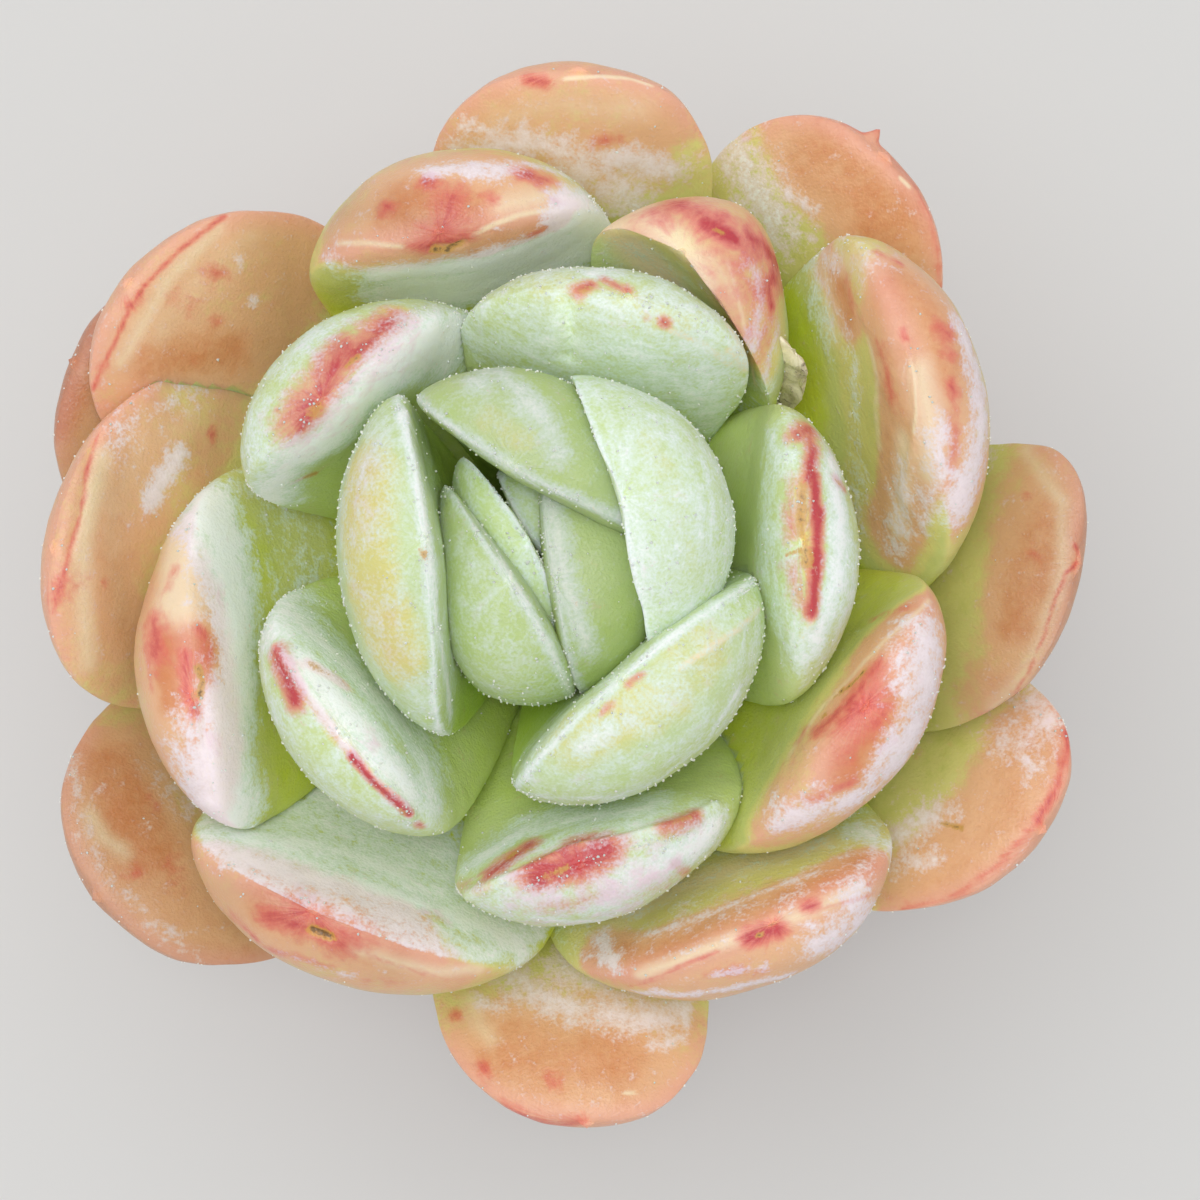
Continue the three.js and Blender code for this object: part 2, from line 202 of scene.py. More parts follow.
# One row for each leaf, from the heart outward. The shape has the same meaning as in the imported part: turn
# is the compass angle, rise the slope at root and tip, reach and height the tip's place, sweep its bend
# aside. The rest is its look: start is where along the leaf it turns from green to peach, dust the powder
# all over it, powdered how far down that reaches in millimetres, face the powder on its front, frost that
# on its margin, green_face how green the front stays, old how yellow its green is, shade how much painted
# shade darkens it.
LEAVES = [
    dict(turn=35, rise=(80, 105), reach=0.6, height=11.5, sweep=2.4, width=12, front=0.8, back=3.6),
    dict(turn=209, rise=(80, 112), reach=0, height=13.8, sweep=-2.4, width=16, front=0.6, back=2.6),
    dict(turn=9, rise=(80, 95), reach=0.5, height=14.5, sweep=-0.6, width=16, front=1.0, back=6.4, dome=0.5,
         dust=0.18, shade=0.85),
    dict(turn=60, rise=(70, 108), reach=4.8, height=17, sweep=5.2, width=20, front=1.4, back=5.8, dome=0.5,
         dust=0.28, shade=0.75),
    dict(turn=211, rise=(80, 95), reach=2.3, height=16, sweep=-0.6, width=16, front=1.2, back=5.0, lean=0.5,
         dome=0.5, shade=0.55),
    dict(turn=16, rise=(68, 100), reach=6.0, height=19, sweep=3.2, width=20, front=0.8, back=6.3,
         cup=1.4, dust=0.58),
    dict(turn=187, rise=(68, 105), reach=7.4, height=18.5, sweep=-2.9, width=22, back=5.2,
         **LIPPED, shade=0.25),
    dict(turn=311, rise=(62, 108), reach=8.3, height=17.5, sweep=-0.8, width=21, back=6.3,
         **LIPPED, dust=0.48, shade=0.12),
    dict(turn=79, rise=(35, 62), reach=18.4, height=14.6, sweep=-1.8, width=19.5, back=4.4,
         front=2.4, powdered=7),
    dict(turn=217, rise=(40, 92), reach=16.6, height=14, sweep=0.5, width=19, back=4.8,
         **ROUNDED, dust=0.5),
    dict(turn=3, rise=(40, 92), reach=16.4, height=14, sweep=1, width=20, back=4.8, **ROUNDED),
    dict(turn=131, rise=(32, 90), reach=17.8, height=14.5, sweep=3.6, width=18.5, back=5.2, **ROUNDED),
    dict(turn=287, rise=(32, 92), reach=18.8, height=12.5, sweep=-3.4, width=20, back=5.0,
         **ROUNDED, dust=0.72),
    dict(turn=50, rise=(30, 88), reach=21.6, height=12, sweep=6.6, width=15.5, front=0.4, back=6.6, cup=1.8,
         start=0.72, green_face=0.6, face=0.3, powdered=12, old=0.15),
    dict(turn=187, rise=(20, 84), reach=23.8, height=11, sweep=5.2, width=23.5,
         back=5.6, **ROUNDED, start=0.7),
    dict(turn=326, rise=(25, 90), reach=22, height=12, sweep=4.4, width=22.5, back=5.7,
         **ROUNDED, start=0.68),
    dict(turn=102, rise=(20, 100), reach=23, height=12, sweep=2.2, width=20.5,
         back=6.2, **ROUNDED, start=0.72),
    dict(turn=246, rise=(15, 88), reach=26.6, height=9, sweep=-5, width=24.5, back=5.8,
         **ROUNDED, start=0.7, face=0.78, powdered=10),
    dict(turn=19, rise=(15, 90), reach=27, height=11, sweep=5.8, width=23.5,
         back=6.0, **ROUNDED, start=0.7),
    dict(turn=171, rise=(5, 50), reach=32.6, height=7, sweep=3.4, width=23.5, start=0.5, green_face=0.1),
    dict(turn=294, rise=(12, 88), reach=27.2, height=8, sweep=4.2, width=23.5, back=5.6,
         **ROUNDED, start=0.66, face=0.3, powdered=11, green_face=0.2),
    dict(turn=88, rise=(0, 48), reach=33.4, height=6, sweep=-0.9, width=19.5, blunt=2.6, start=0.6),
    dict(turn=217, rise=(-5, 40), reach=37.4, height=2, sweep=-0.9, width=21.5, start=0.5, shade=0.8),
    dict(turn=350, rise=(-3, 42), reach=34.8, height=4, sweep=6.8, width=20,
         blunt=3.0, start=0.68, shade=0.75),
    dict(turn=142, rise=(-3, 45), reach=34, height=5, sweep=2, width=21, start=0.5),
    dict(turn=270, rise=(-8, 38), reach=37.2, height=1, sweep=2.6, width=19.5, blunt=2.5, start=0.6),
    dict(turn=47, rise=(-5, 40), reach=36, height=2, sweep=2.5, width=19.5, blunt=2.6, start=0.6),
    dict(turn=325, rise=(-8, 40), reach=37.4, height=1, sweep=5, width=20.5, start=0.66),
    dict(turn=156, rise=(-8, 38), reach=35.2, height=1, sweep=0, width=22, start=0.5, shade=0.9),
]
HEART_BUD = dict(turn=300, rise=(85, 100), reach=0.5, height=9, sweep=0, width=4.6, back=1.4,
                 dust=0, frost=0.4)
ALL_LEAVES = [HEART_BUD] + LEAVES
DRY_LEAF = dict(turn=42, rise=(10, 75), reach=22, height=7, sweep=0, width=6, front=0.5, back=0.6)
DRY_LEAF_AGE = 20

# Marks on each leaf, each laid along pixels of the photograph: what it is, its half width in pixels, how
# strong it is, and then the x and y of each point of its path. A ripe mark pulls the flesh toward that
# ripeness: -0.5 lime, 0 green, 0.5 straw, 1 peach, 1.5 orange. A press mark dents the leaf by that many
# millimetres, or raises it where it is positive. A shade mark darkens what lies under it.
# A cream mark is partly pale cream flesh and partly painted highlight and glint.
# A shade mark is painted shade.
STROKES = {
    2: [
        ("bloom", 4, 0.9, 472, 456, 500, 496, 524, 532, 544, 564),
    ],
    3: [
        ("bloom", 9, 0.95, 548, 500, 558, 540, 564, 580, 578, 620, 590, 648),
        ("bloom", 16, 0.25, 590, 520, 600, 580, 605, 640),
    ],
    4: [
        ("bloom", 11, 0.85, 470, 366, 495, 370, 524, 396, 548, 424, 560, 456),
        ("bloom", 4, 0.75, 452, 440, 524, 472, 580, 496, 628, 520),
        ("bloom", 16, 0.32, 460, 405, 500, 420, 530, 445),
        ("ripe", 14, 0.25, 490, 420, 520, 440),
    ],
    5: [
        ("bloom", 5, 1.0, 472, 512, 496, 548, 516, 588, 540, 628, 556, 660),
        ("bloom", 16, 0.5, 500, 680, 520, 700, 550, 710),
    ],
    6: [
        ("bloom", 16, 0.5, 600, 390, 640, 430, 670, 490, 680, 550, 665, 600),
        ("bloom", 7, 0.75, 735, 440, 742, 500, 738, 550, 715, 600, 690, 620),
        ("bloom", 5, 0.7, 575, 372, 600, 400, 620, 450, 635, 500, 643, 560, 645, 620),
        ("ripe", 14, 0.2, 650, 440, 680, 500, 690, 560),
    ],
    7: [
        ("bloom", 6, 1.0, 404, 410, 412, 460, 422, 508, 430, 564, 438, 620, 449, 680, 452, 715),
        ("ripe", 28, 0.58, 362, 470, 357, 530, 370, 600, 395, 655),
        ("scar", 3, 0.6, 421, 550, 424, 556),
        ("bloom", 7, 0.6, 375, 412, 350, 440, 334, 480),
        ("press", 5, 0.15, 404, 412, 412, 460, 421, 510, 423, 552),
    ],
    8: [
        ("cream_and_highlight", 3, 0.95, 758, 610, 735, 630, 706, 650, 680, 668),
        ("press", 6, 0.25, 758, 604, 735, 627, 706, 650, 680, 668),
        ("red", 3, 0.72, 628, 684, 640, 675),
        ("red", 3, 0.63, 602, 714, 610, 705),
        ("bloom", 12, 0.75, 580, 748, 600, 735, 625, 722),
        ("bloom", 5, 0.8, 520, 792, 560, 798, 610, 798, 660, 780, 705, 745, 740, 690),
        ("bloom", 16, 0.5, 560, 760, 620, 760, 680, 730, 720, 680),
        ("ripe", 26, 0.36, 560, 745, 610, 725, 670, 700, 700, 650),
    ],
    9: [
        ("bloom", 11, 0.9, 588, 262, 600, 268, 614, 276),
        ("red", 6, 0.95, 578, 291, 592, 284),
        ("scar", 5, 0.55, 582, 292, 592, 287),
        ("red", 5, 0.9, 604, 278, 618, 286, 627, 290),
        ("bloom", 7, 0.9, 592, 300, 606, 306, 617, 312),
        ("bloom", 10, 0.75, 566, 303, 556, 325, 548, 347),
        ("bloom", 8, 0.6, 497, 308, 512, 312, 530, 318),
        ("bloom", 13, 0.55, 490, 340, 510, 345, 535, 352),
        ("red", 4, 1.0, 664, 321, 666, 323),
        ("red", 3, 0.45, 645, 318),
        ("press", 6, -0.55, 566, 300, 567, 330, 568, 360),
        ("cream_and_highlight", 3, 0.9, 670, 330, 705, 345, 730, 366),
        ("cream_and_highlight", 6, 0.9, 728, 326, 742, 350, 750, 378),
        ("bloom", 22, 0.8, 620, 345, 670, 375, 710, 410, 720, 440),
        ("ripe", 16, 0.3, 540, 285, 620, 300, 690, 320),
    ],
    10: [
        ("bloom", 22, 1.0, 278, 585, 305, 628, 340, 660, 375, 695, 410, 730),
        ("bloom", 17, 1.2, 298, 660, 330, 690, 353, 715, 385, 757, 412, 790),
        ("bloom", 20, 0.95, 405, 725, 425, 760, 430, 805),
        ("cream_and_highlight", 3, 0.85, 277, 647, 303, 683, 337, 730, 360, 763, 387, 787, 407, 810),
        ("ripe", 5, 0.8, 285, 660, 310, 700, 345, 745, 365, 768),
        ("red", 3, 1.35, 352, 755, 375, 782, 392, 797, 408, 812),
        ("red", 8, 1.3, 279, 656, 287, 678, 295, 700),
        ("press", 6, 0.35, 277, 647, 303, 683, 337, 730, 360, 763, 387, 787, 412, 815),
        ("ripe", 6, 0.9, 308, 664, 328, 674, 345, 686),
        ("scar", 4, 0.45, 310, 665, 330, 675),
        ("red", 7, 0.41, 366, 736, 371, 745),
        ("scar", 3, 0.7, 399, 808, 403, 812),
        ("red", 4, 0.85, 419, 826, 422, 829),
    ],
    11: [
        ("bloom", 11, 0.75, 772, 440, 782, 462, 790, 485),
        ("red", 8, 1.0, 796, 436, 807, 430, 812, 450),
        ("red", 6, 1.1, 813, 450, 808, 480),
        ("red", 5, 1.4, 814, 475, 818, 513, 817, 554, 814, 588, 811, 612),
        ("red", 9, 0.65, 792, 485, 790, 510, 793, 535),
        ("red", 9, 0.59, 790, 570, 796, 590, 806, 605),
        ("ripe", 6, 0.6, 805, 484, 802, 513, 808, 543, 811, 571),
        ("scar", 6, 0.65, 803, 486, 801, 515, 804, 540, 807, 560),
        ("scar", 2, 0.8, 786, 555, 801, 549),
        ("red", 5, 0.77, 836, 478, 845, 487),
        ("scar", 3, 0.5, 838, 480, 844, 487),
        ("bloom", 13, 1.1, 834, 468, 842, 510, 840, 555),
        ("bloom", 13, 1.0, 840, 560, 830, 600, 815, 640),
        ("bloom", 10, 0.7, 780, 500, 778, 540, 784, 570),
        ("cream_and_highlight", 4, 0.8, 813, 612, 808, 628, 802, 640),
        ("press", 5, 0.25, 806, 470, 803, 500, 806, 540, 811, 580, 811, 625),
    ],
    12: [
        ("ripe", 7, 0.5, 386, 309, 402, 312, 417, 318),
        ("red", 9, 0.68, 376, 322, 358, 326, 342, 334),
        ("red", 16, 1.1, 388, 324, 368, 340, 345, 352, 330, 376, 312, 402, 298, 424),
        ("red", 26, 0.5, 380, 345, 345, 375, 315, 420),
        ("scar", 6, 0.5, 312, 414, 322, 407),
        ("scar", 3, 0.65, 346, 366, 352, 360, 358, 356),
        ("bloom", 20, 1.6, 452, 345, 425, 346, 400, 358, 385, 375),
        ("bloom", 18, 1.6, 405, 365, 378, 384, 355, 408, 328, 438, 306, 452),
        ("bloom", 16, 1.2, 318, 445, 290, 462, 270, 500),
        ("bloom", 7, 0.7, 345, 300, 370, 297, 400, 304, 430, 316),
        ("bloom", 14, 0.55, 300, 345, 278, 380, 265, 425),
        ("red", 4, 0.72, 278, 410, 280, 414),
        ("red", 4, 0.63, 288, 432, 294, 434),
        ("scar", 4, 0.75, 309, 476, 316, 474),
        ("red", 7, 0.36, 300, 480, 318, 470),
        ("press", 7, -0.25, 376, 324, 345, 354, 322, 390),
    ],
    13: [
        ("cream_and_highlight", 2, 1.0, 598, 843, 625, 838, 658, 832),
        ("cream_and_highlight", 2, 0.5, 470, 897, 510, 879, 560, 853),
        ("press", 6, 0.45, 470, 895, 520, 874, 570, 851, 625, 840, 680, 824, 716, 806),
        ("red", 14, 1.35, 538, 876, 560, 868, 586, 860, 604, 850),
        ("red", 9, 1.0, 570, 845, 592, 838),
        ("red", 10, 1.1, 490, 874, 510, 858, 528, 846),
        ("scar", 5, 0.6, 508, 858, 516, 852),
        ("scar", 5, 0.55, 546, 876, 556, 872, 564, 868),
        ("red", 7, 1.05, 663, 829, 678, 824, 694, 818),
        ("scar", 3, 0.6, 670, 827, 688, 820),
        ("bloom", 16, 1.0, 527, 897, 560, 897, 600, 888, 638, 870),
        ("bloom", 19, 1.1, 600, 905, 640, 880, 680, 857, 708, 834),
        ("bloom", 7, 0.9, 530, 918, 570, 924, 610, 920, 660, 900),
        ("bloom", 18, 0.95, 478, 858, 520, 832, 560, 818, 610, 814, 650, 808),
        ("red", 26, 0.55, 540, 905, 600, 895, 650, 880),
        ("red", 5, 0.85, 688, 874, 692, 877),
        ("red", 8, 0.54, 520, 896, 532, 900),
        ("red", 6, 0.41, 460, 886, 474, 884),
        ("ripe", 12, 0.6, 520, 874, 560, 868, 600, 852),
    ],
    14: [
        ("ripe", 24, 0.3, 630, 270, 680, 310, 715, 350),
        ("cream_and_highlight", 24, 1.1, 620, 235, 660, 275, 700, 330),
        ("cream_and_highlight", 16, 1.0, 640, 210, 670, 235, 705, 280),
        ("ripe", 10, 0.6, 655, 190, 665, 215, 690, 240),
        ("ripe", 9, 0.8, 680, 200, 705, 240),
        ("red", 4, 0.85, 646, 198, 649, 201),
        ("red", 9, 1.25, 708, 222, 720, 230, 735, 238),
        ("red", 15, 0.85, 655, 195, 700, 212, 740, 236, 775, 262, 785, 290),
        ("scar", 3, 0.7, 716, 229, 723, 233),
        ("red", 8, 0.63, 691, 211, 705, 236),
        ("red", 9, 1.1, 750, 236, 765, 248, 778, 262),
        ("red", 7, 1.1, 773, 272, 770, 290, 772, 306),
        ("ripe", 22, 0.8, 740, 270, 752, 310, 758, 350),
        ("red", 24, 0.5, 725, 245, 750, 290, 760, 340),
        ("bloom", 20, 0.55, 750, 270, 768, 310, 770, 350),
        ("bloom", 9, 0.9, 790, 275, 800, 300, 798, 330, 788, 355),
        ("bloom", 8, 0.75, 778, 330, 770, 355, 762, 385),
        ("cream_and_highlight", 3, 0.8, 728, 262, 740, 300, 748, 345, 756, 385),
        ("cream_and_highlight", 10, 0.6, 680, 235, 715, 262, 738, 300),
    ],
    15: [
        ("ripe", 26, 0.15, 262, 480, 300, 530, 300, 590),
        ("bloom", 26, 0.45, 262, 480, 300, 530, 300, 590),
        ("cream_and_highlight", 24, 1.1, 176, 530, 180, 565, 178, 600),
        ("bloom", 11, 0.85, 166, 505, 185, 498, 205, 502),
        ("bloom", 6, 0.95, 190, 535, 197, 552, 202, 568),
        ("bloom", 20, 1.5, 205, 505, 222, 540, 232, 580, 236, 620),
        ("bloom", 17, 1.5, 236, 620, 238, 660, 240, 700),
        ("bloom", 24, 1.5, 232, 710, 226, 750, 226, 790, 232, 820),
        ("red", 10, 0.9, 155, 622, 157, 640, 158, 655),
        ("red", 5, 0.9, 200, 630, 203, 634),
        ("red", 5, 0.63, 146, 550, 143, 575),
        ("red", 5, 0.9, 185, 655, 187, 690, 195, 714),
        ("ripe", 15, 1.5, 172, 640, 190, 655, 205, 650),
        ("ripe", 11, 1.5, 168, 672, 170, 700),
        ("red", 9, 0.54, 210, 650, 208, 680),
        ("scar", 4, 0.85, 198, 668, 203, 682, 201, 694),
        ("press", 7, -0.3, 199, 690, 205, 720, 203, 760, 208, 800),
        ("red", 8, 0.36, 211, 735, 216, 740),
        ("ripe", 5, 1.4, 218, 755, 222, 766),
        ("red", 4, 0.54, 150, 680, 153, 690),
        ("red", 5, 0.41, 222, 592, 224, 600),
        ("scar", 2, 0.7, 246, 632, 249, 632),
    ],
    16: [
        ("ripe", 12, 1.0, 920, 600, 890, 625, 860, 655),
        ("red", 4, 0.54, 870, 620, 893, 611, 915, 606),
        ("scar", 2, 1.0, 834, 694, 850, 684, 864, 670),
        ("scar", 3, 0.8, 822, 716, 825, 713),
        ("red", 7, 0.9, 816, 731, 836, 713, 856, 694, 878, 664),
        ("red", 15, 0.9, 862, 700, 848, 715),
        ("red", 12, 0.72, 884, 708, 874, 728),
        ("ripe", 18, 1.5, 872, 690, 858, 735, 845, 765),
        ("red", 12, 0.5, 856, 742, 846, 765),
        ("red", 5, 0.81, 838, 788, 850, 783),
        ("red", 6, 0.54, 812, 799, 822, 796),
        ("red", 5, 0.54, 799, 740, 805, 730),
        ("bloom", 18, 0.95, 925, 640, 930, 680, 918, 725, 895, 765),
        ("bloom", 14, 0.7, 900, 660, 905, 700, 890, 745, 872, 775),
        ("bloom", 14, 0.85, 865, 790, 825, 808, 785, 818),
        ("ripe", 16, 0.85, 800, 770, 780, 800, 762, 830),
        ("cream_and_highlight", 4, 0.7, 930, 600, 895, 632, 860, 665, 822, 705, 790, 755),
    ],
    17: [
        ("shade", 26, 0.7, 340, 215, 390, 212, 440, 225),
        ("red", 11, 0.85, 450, 192, 447, 215, 441, 233, 425, 246),
        ("ripe", 20, 1.35, 400, 205, 440, 215, 480, 215),
        ("red", 6, 0.85, 386, 207, 390, 209),
        ("red", 7, 0.85, 428, 181, 440, 184),
        ("red", 8, 0.9, 446, 193, 452, 197),
        ("red", 5, 0.85, 488, 196, 492, 199),
        ("red", 8, 0.9, 520, 174, 533, 177, 546, 181),
        ("red", 4, 0.63, 575, 181, 582, 184),
        ("red", 6, 0.77, 414, 246, 440, 243, 474, 237),
        ("scar", 4, 1.0, 434, 251, 447, 253, 460, 246),
        ("cream_and_highlight", 14, 0.7, 500, 205, 540, 198, 580, 195),
        ("cream_and_highlight", 3, 1.0, 473, 236, 495, 224, 519, 215, 547, 210, 600, 201),
        ("cream_and_highlight", 3, 0.8, 338, 243, 370, 243, 402, 247),
        ("ripe", 11, 1.3, 480, 250, 520, 235, 560, 218),
        ("red", 4, 0.77, 533, 234, 541, 230),
        ("bloom", 13, 1.5, 385, 276, 430, 272, 473, 266, 530, 248, 565, 230, 605, 208),
        ("bloom", 20, 1.6, 400, 292, 450, 290, 500, 274, 560, 254, 605, 236),
        ("bloom", 4, 0.85, 544, 222, 556, 217, 566, 212),
        ("bloom", 9, 0.85, 432, 172, 456, 167, 490, 170, 517, 171),
        ("bloom", 6, 0.8, 530, 166, 560, 175, 590, 188),
        ("bloom", 12, 0.55, 334, 262, 352, 270, 372, 278),
        ("press", 5, -0.3, 436, 248, 450, 250, 462, 245),
    ],
    18: [
        ("shade", 22, 0.55, 230, 890, 280, 905, 330, 945, 390, 965),
        ("bloom", 11, 1.25, 239, 855, 295, 874, 347, 880, 400, 896, 438, 912),
        ("bloom", 20, 1.1, 250, 838, 300, 845, 350, 855, 400, 876),
        ("bloom", 15, 1.3, 446, 915, 480, 925, 515, 938),
        ("ripe", 16, 0.85, 196, 862, 220, 870, 245, 882),
        ("red", 8, 0.9, 265, 918, 300, 925, 345, 944),
        ("red", 15, 0.68, 300, 912, 325, 928, 350, 946),
        ("ripe", 22, 1.3, 270, 905, 330, 915, 400, 925),
        ("red", 7, 0.59, 430, 914, 440, 918),
        ("scar", 4, 1.0, 312, 930, 323, 934, 332, 938),
        ("red", 6, 0.54, 232, 915, 267, 946, 330, 967),
        ("red", 6, 0.45, 370, 980, 395, 983),
        ("cream_and_highlight", 8, 0.7, 355, 950, 395, 962, 440, 972, 480, 968),
        ("red", 2, 0.45, 347, 950, 400, 966, 452, 982),
        ("press", 4, -0.4, 312, 930, 323, 934, 332, 938),
        ("bloom", 5, 0.6, 280, 950, 310, 962, 350, 975),
    ],
    19: [
        ("ripe", 26, 0.5, 815, 250, 835, 290, 850, 350, 858, 430, 860, 520),
        ("bloom", 20, 0.5, 800, 235, 815, 270, 830, 320),
        ("cream_and_highlight", 20, 0.6, 806, 235, 825, 270, 835, 330),
        ("bloom", 8, 0.5, 842, 310, 852, 370, 858, 440, 858, 530),
        ("ripe", 15, 1.25, 828, 262, 838, 285, 850, 320),
        ("red", 9, 0.45, 846, 280, 850, 298),
        ("ripe", 14, 1.1, 874, 320, 888, 360, 892, 412, 890, 480, 884, 520),
        ("red", 7, 0.54, 880, 346, 889, 372, 891, 400),
        ("cream_and_highlight", 4, 0.8, 868, 340, 878, 377, 876, 412, 880, 447),
        ("cream_and_highlight", 15, 0.8, 920, 370, 930, 420, 928, 475),
        ("cream_and_highlight", 2, 1.0, 908, 349, 915, 377, 918, 412, 915, 433),
        ("red", 3, 0.81, 902, 331, 905, 340),
        ("red", 4, 0.63, 876, 250, 888, 256, 901, 262),
        ("red", 8, 0.81, 943, 330, 948, 335),
        ("red", 7, 0.68, 949, 348, 952, 355),
        ("red", 7, 0.77, 951, 388, 954, 396),
        ("red", 6, 0.5, 957, 416, 955, 440, 952, 462),
        ("bloom", 14, 0.95, 962, 330, 978, 370, 984, 415, 975, 465, 955, 505),
        ("bloom", 10, 0.65, 940, 430, 940, 470, 925, 520),
        ("ripe", 12, 0.6, 815, 240, 840, 240, 870, 262),
        ("ripe", 22, 1.05, 915, 440, 915, 490, 908, 525, 898, 552),
        ("cream_and_highlight", 13, 0.8, 905, 440, 905, 490, 898, 530),
        ("bloom", 12, 0.65, 906, 470, 902, 510, 893, 545),
        ("ripe", 20, 1.25, 900, 280, 930, 310, 945, 360),
        ("press", 5, 0.2, 905, 345, 915, 377, 918, 412, 914, 450, 905, 500),
    ],
    20: [
        ("shade", 32, 0.75, 112, 490, 110, 550, 125, 620, 130, 680),
        ("shade", 26, 0.6, 225, 390, 215, 450),
        ("bloom", 8, 1.05, 178, 456, 166, 476, 153, 497),
        ("bloom", 14, 0.45, 120, 440, 150, 405, 200, 385),
        ("red", 2, 0.68, 98, 433, 88, 470, 82, 513, 70, 550, 60, 585, 53, 612),
        ("red", 5, 0.9, 56, 600, 60, 582),
        ("red", 8, 0.36, 68, 590, 80, 578),
        ("cream_and_highlight", 12, 0.75, 104, 457, 90, 513, 82, 557, 84, 617, 88, 663),
        ("ripe", 16, 1.1, 122, 507, 105, 545, 113, 590, 130, 637),
        ("ripe", 18, 1.25, 130, 440, 130, 470),
        ("red", 3, 0.63, 103, 582, 104, 585),
        ("red", 5, 0.85, 211, 431, 213, 436),
        ("ripe", 24, 0.85, 235, 395, 222, 430, 205, 460),
        ("cream_and_highlight", 26, 0.35, 190, 420, 140, 450, 115, 500, 110, 560, 120, 610),
        ("ripe", 24, 0.9, 150, 420, 160, 460, 150, 510),
        ("ripe", 20, 0.8, 70, 660, 100, 685, 130, 690),
        ("press", 5, -0.2, 98, 433, 88, 470, 82, 513, 70, 550),
    ],
    21: [
        ("ripe", 28, 0.5, 590, 925, 640, 905, 690, 885, 750, 862, 860, 835),
        ("cream_and_highlight", 22, 0.75, 620, 910, 690, 885, 750, 862, 820, 842),
        ("bloom", 4, 0.6, 640, 939, 680, 924, 715, 912, 764, 890, 820, 871),
        ("ripe", 16, 1.3, 600, 950, 640, 957, 690, 938, 734, 920, 797, 892, 865, 862),
        ("cream_and_highlight", 8, 0.8, 640, 975, 680, 960, 734, 939, 809, 912, 860, 888),
        ("red", 2, 0.63, 627, 988, 657, 978, 690, 962, 717, 952),
        ("red", 2, 0.54, 820, 909, 855, 899, 891, 888),
        ("red", 7, 1.2, 748, 938, 762, 934, 778, 928),
        ("scar", 2, 0.9, 757, 936, 763, 934),
        ("red", 5, 1.0, 806, 907, 814, 905),
        ("red", 8, 0.45, 710, 975, 735, 972, 762, 968),
        ("bloom", 4, 0.85, 715, 976, 740, 972, 764, 967),
        ("bloom", 14, 0.9, 820, 940, 850, 925, 876, 908),
        ("bloom", 5, 0.8, 640, 993, 690, 995, 740, 988, 790, 975),
        ("bloom", 8, 0.85, 600, 938, 605, 950, 615, 960),
        ("bloom", 11, 0.9, 855, 830, 870, 835, 892, 848),
    ],
    22: [
        ("red", 5, 0.9, 529, 80, 546, 82),
        ("cream_and_highlight", 2, 1.0, 565, 79, 600, 76, 631, 78, 652, 85),
        ("ripe", 30, 0.9, 470, 135, 520, 112, 600, 108, 680, 130),
        ("cream_and_highlight", 20, 0.45, 500, 120, 560, 105, 640, 110),
        ("bloom", 6, 0.75, 463, 124, 488, 131, 512, 138),
        ("bloom", 12, 0.95, 465, 156, 500, 148, 530, 143, 560, 150),
        ("bloom", 11, 1.0, 600, 158, 635, 160, 672, 170),
        ("bloom", 18, 0.9, 570, 168, 600, 180, 630, 195),
        ("red", 6, 0.63, 598, 143, 618, 139),
        ("ripe", 14, 0.55, 690, 155, 705, 185),
    ],
    23: [
        ("bloom", 7, 0.5, 71, 761, 81, 827, 113, 880, 155, 922, 197, 960),
        ("ripe", 26, 1.35, 115, 770, 130, 810, 145, 850),
        ("red", 6, 0.45, 151, 800, 156, 804),
        ("red", 7, 0.5, 126, 876, 134, 874),
        ("red", 8, 0.45, 172, 866, 174, 876),
        ("cream_and_highlight", 11, 0.7, 90, 815, 105, 838, 125, 852),
        ("bloom", 14, 0.45, 165, 780, 190, 805),
        ("ripe", 22, 1.1, 160, 905, 200, 930, 240, 950),
    ],
    24: [
        ("bloom", 12, 0.55, 905, 485, 945, 465, 985, 455),
        ("ripe", 26, 1.3, 1048, 530, 1038, 562, 1018, 592),
        ("ripe", 14, 1.3, 990, 615, 1010, 625),
        ("red", 2, 0.9, 1075, 545, 1080, 558, 1073, 567, 1067, 572),
        ("red", 2, 0.63, 1066, 572, 1055, 600, 1045, 632, 1028, 673, 1009, 702),
        ("cream_and_highlight", 10, 0.6, 1025, 450, 1062, 502, 1062, 571, 1042, 639, 1018, 684, 994, 707),
        ("red", 4, 0.5, 1027, 493, 1030, 497),
        ("red", 5, 0.45, 1033, 550, 1036, 556),
        ("ripe", 26, 0.45, 925, 530, 950, 570, 955, 620),
    ],
    25: [
        ("shade", 30, 0.55, 285, 250, 290, 320),
        ("red", 2, 0.77, 231, 211, 180, 250, 145, 285, 131, 306, 114, 344, 102, 367, 93, 390),
        ("red", 5, 0.85, 129, 306, 134, 304),
        ("red", 4, 0.77, 101, 368, 104, 366),
        ("cream_and_highlight", 10, 0.65, 219, 229, 170, 278, 145, 320, 121, 362),
        ("cream_and_highlight", 28, 0.4, 250, 240, 200, 280, 160, 330),
        ("red", 9, 0.54, 213, 270, 217, 276),
        ("red", 9, 0.5, 178, 300, 190, 306),
        ("red", 6, 0.41, 211, 319, 215, 322),
        ("bloom", 4, 0.85, 239, 264, 241, 266),
        ("bloom", 4, 0.85, 252, 302, 256, 300),
        ("ripe", 34, 1.0, 260, 260, 290, 300, 260, 340),
        ("ripe", 24, 1.0, 240, 222, 280, 218, 305, 232),
        ("ripe", 18, 1.3, 150, 360, 190, 350, 230, 350),
    ],
    26: [
        ("bloom", 12, 1.0, 517, 980, 540, 993, 567, 1007, 600, 1012, 640, 1018, 668, 1010),
        ("bloom", 13, 0.8, 560, 965, 600, 985, 650, 985),
        ("bloom", 6, 0.95, 683, 1000, 684, 1018),
        ("bloom", 6, 0.75, 653, 1042, 668, 1045, 677, 1038),
        ("bloom", 5, 0.75, 480, 1000, 500, 1010),
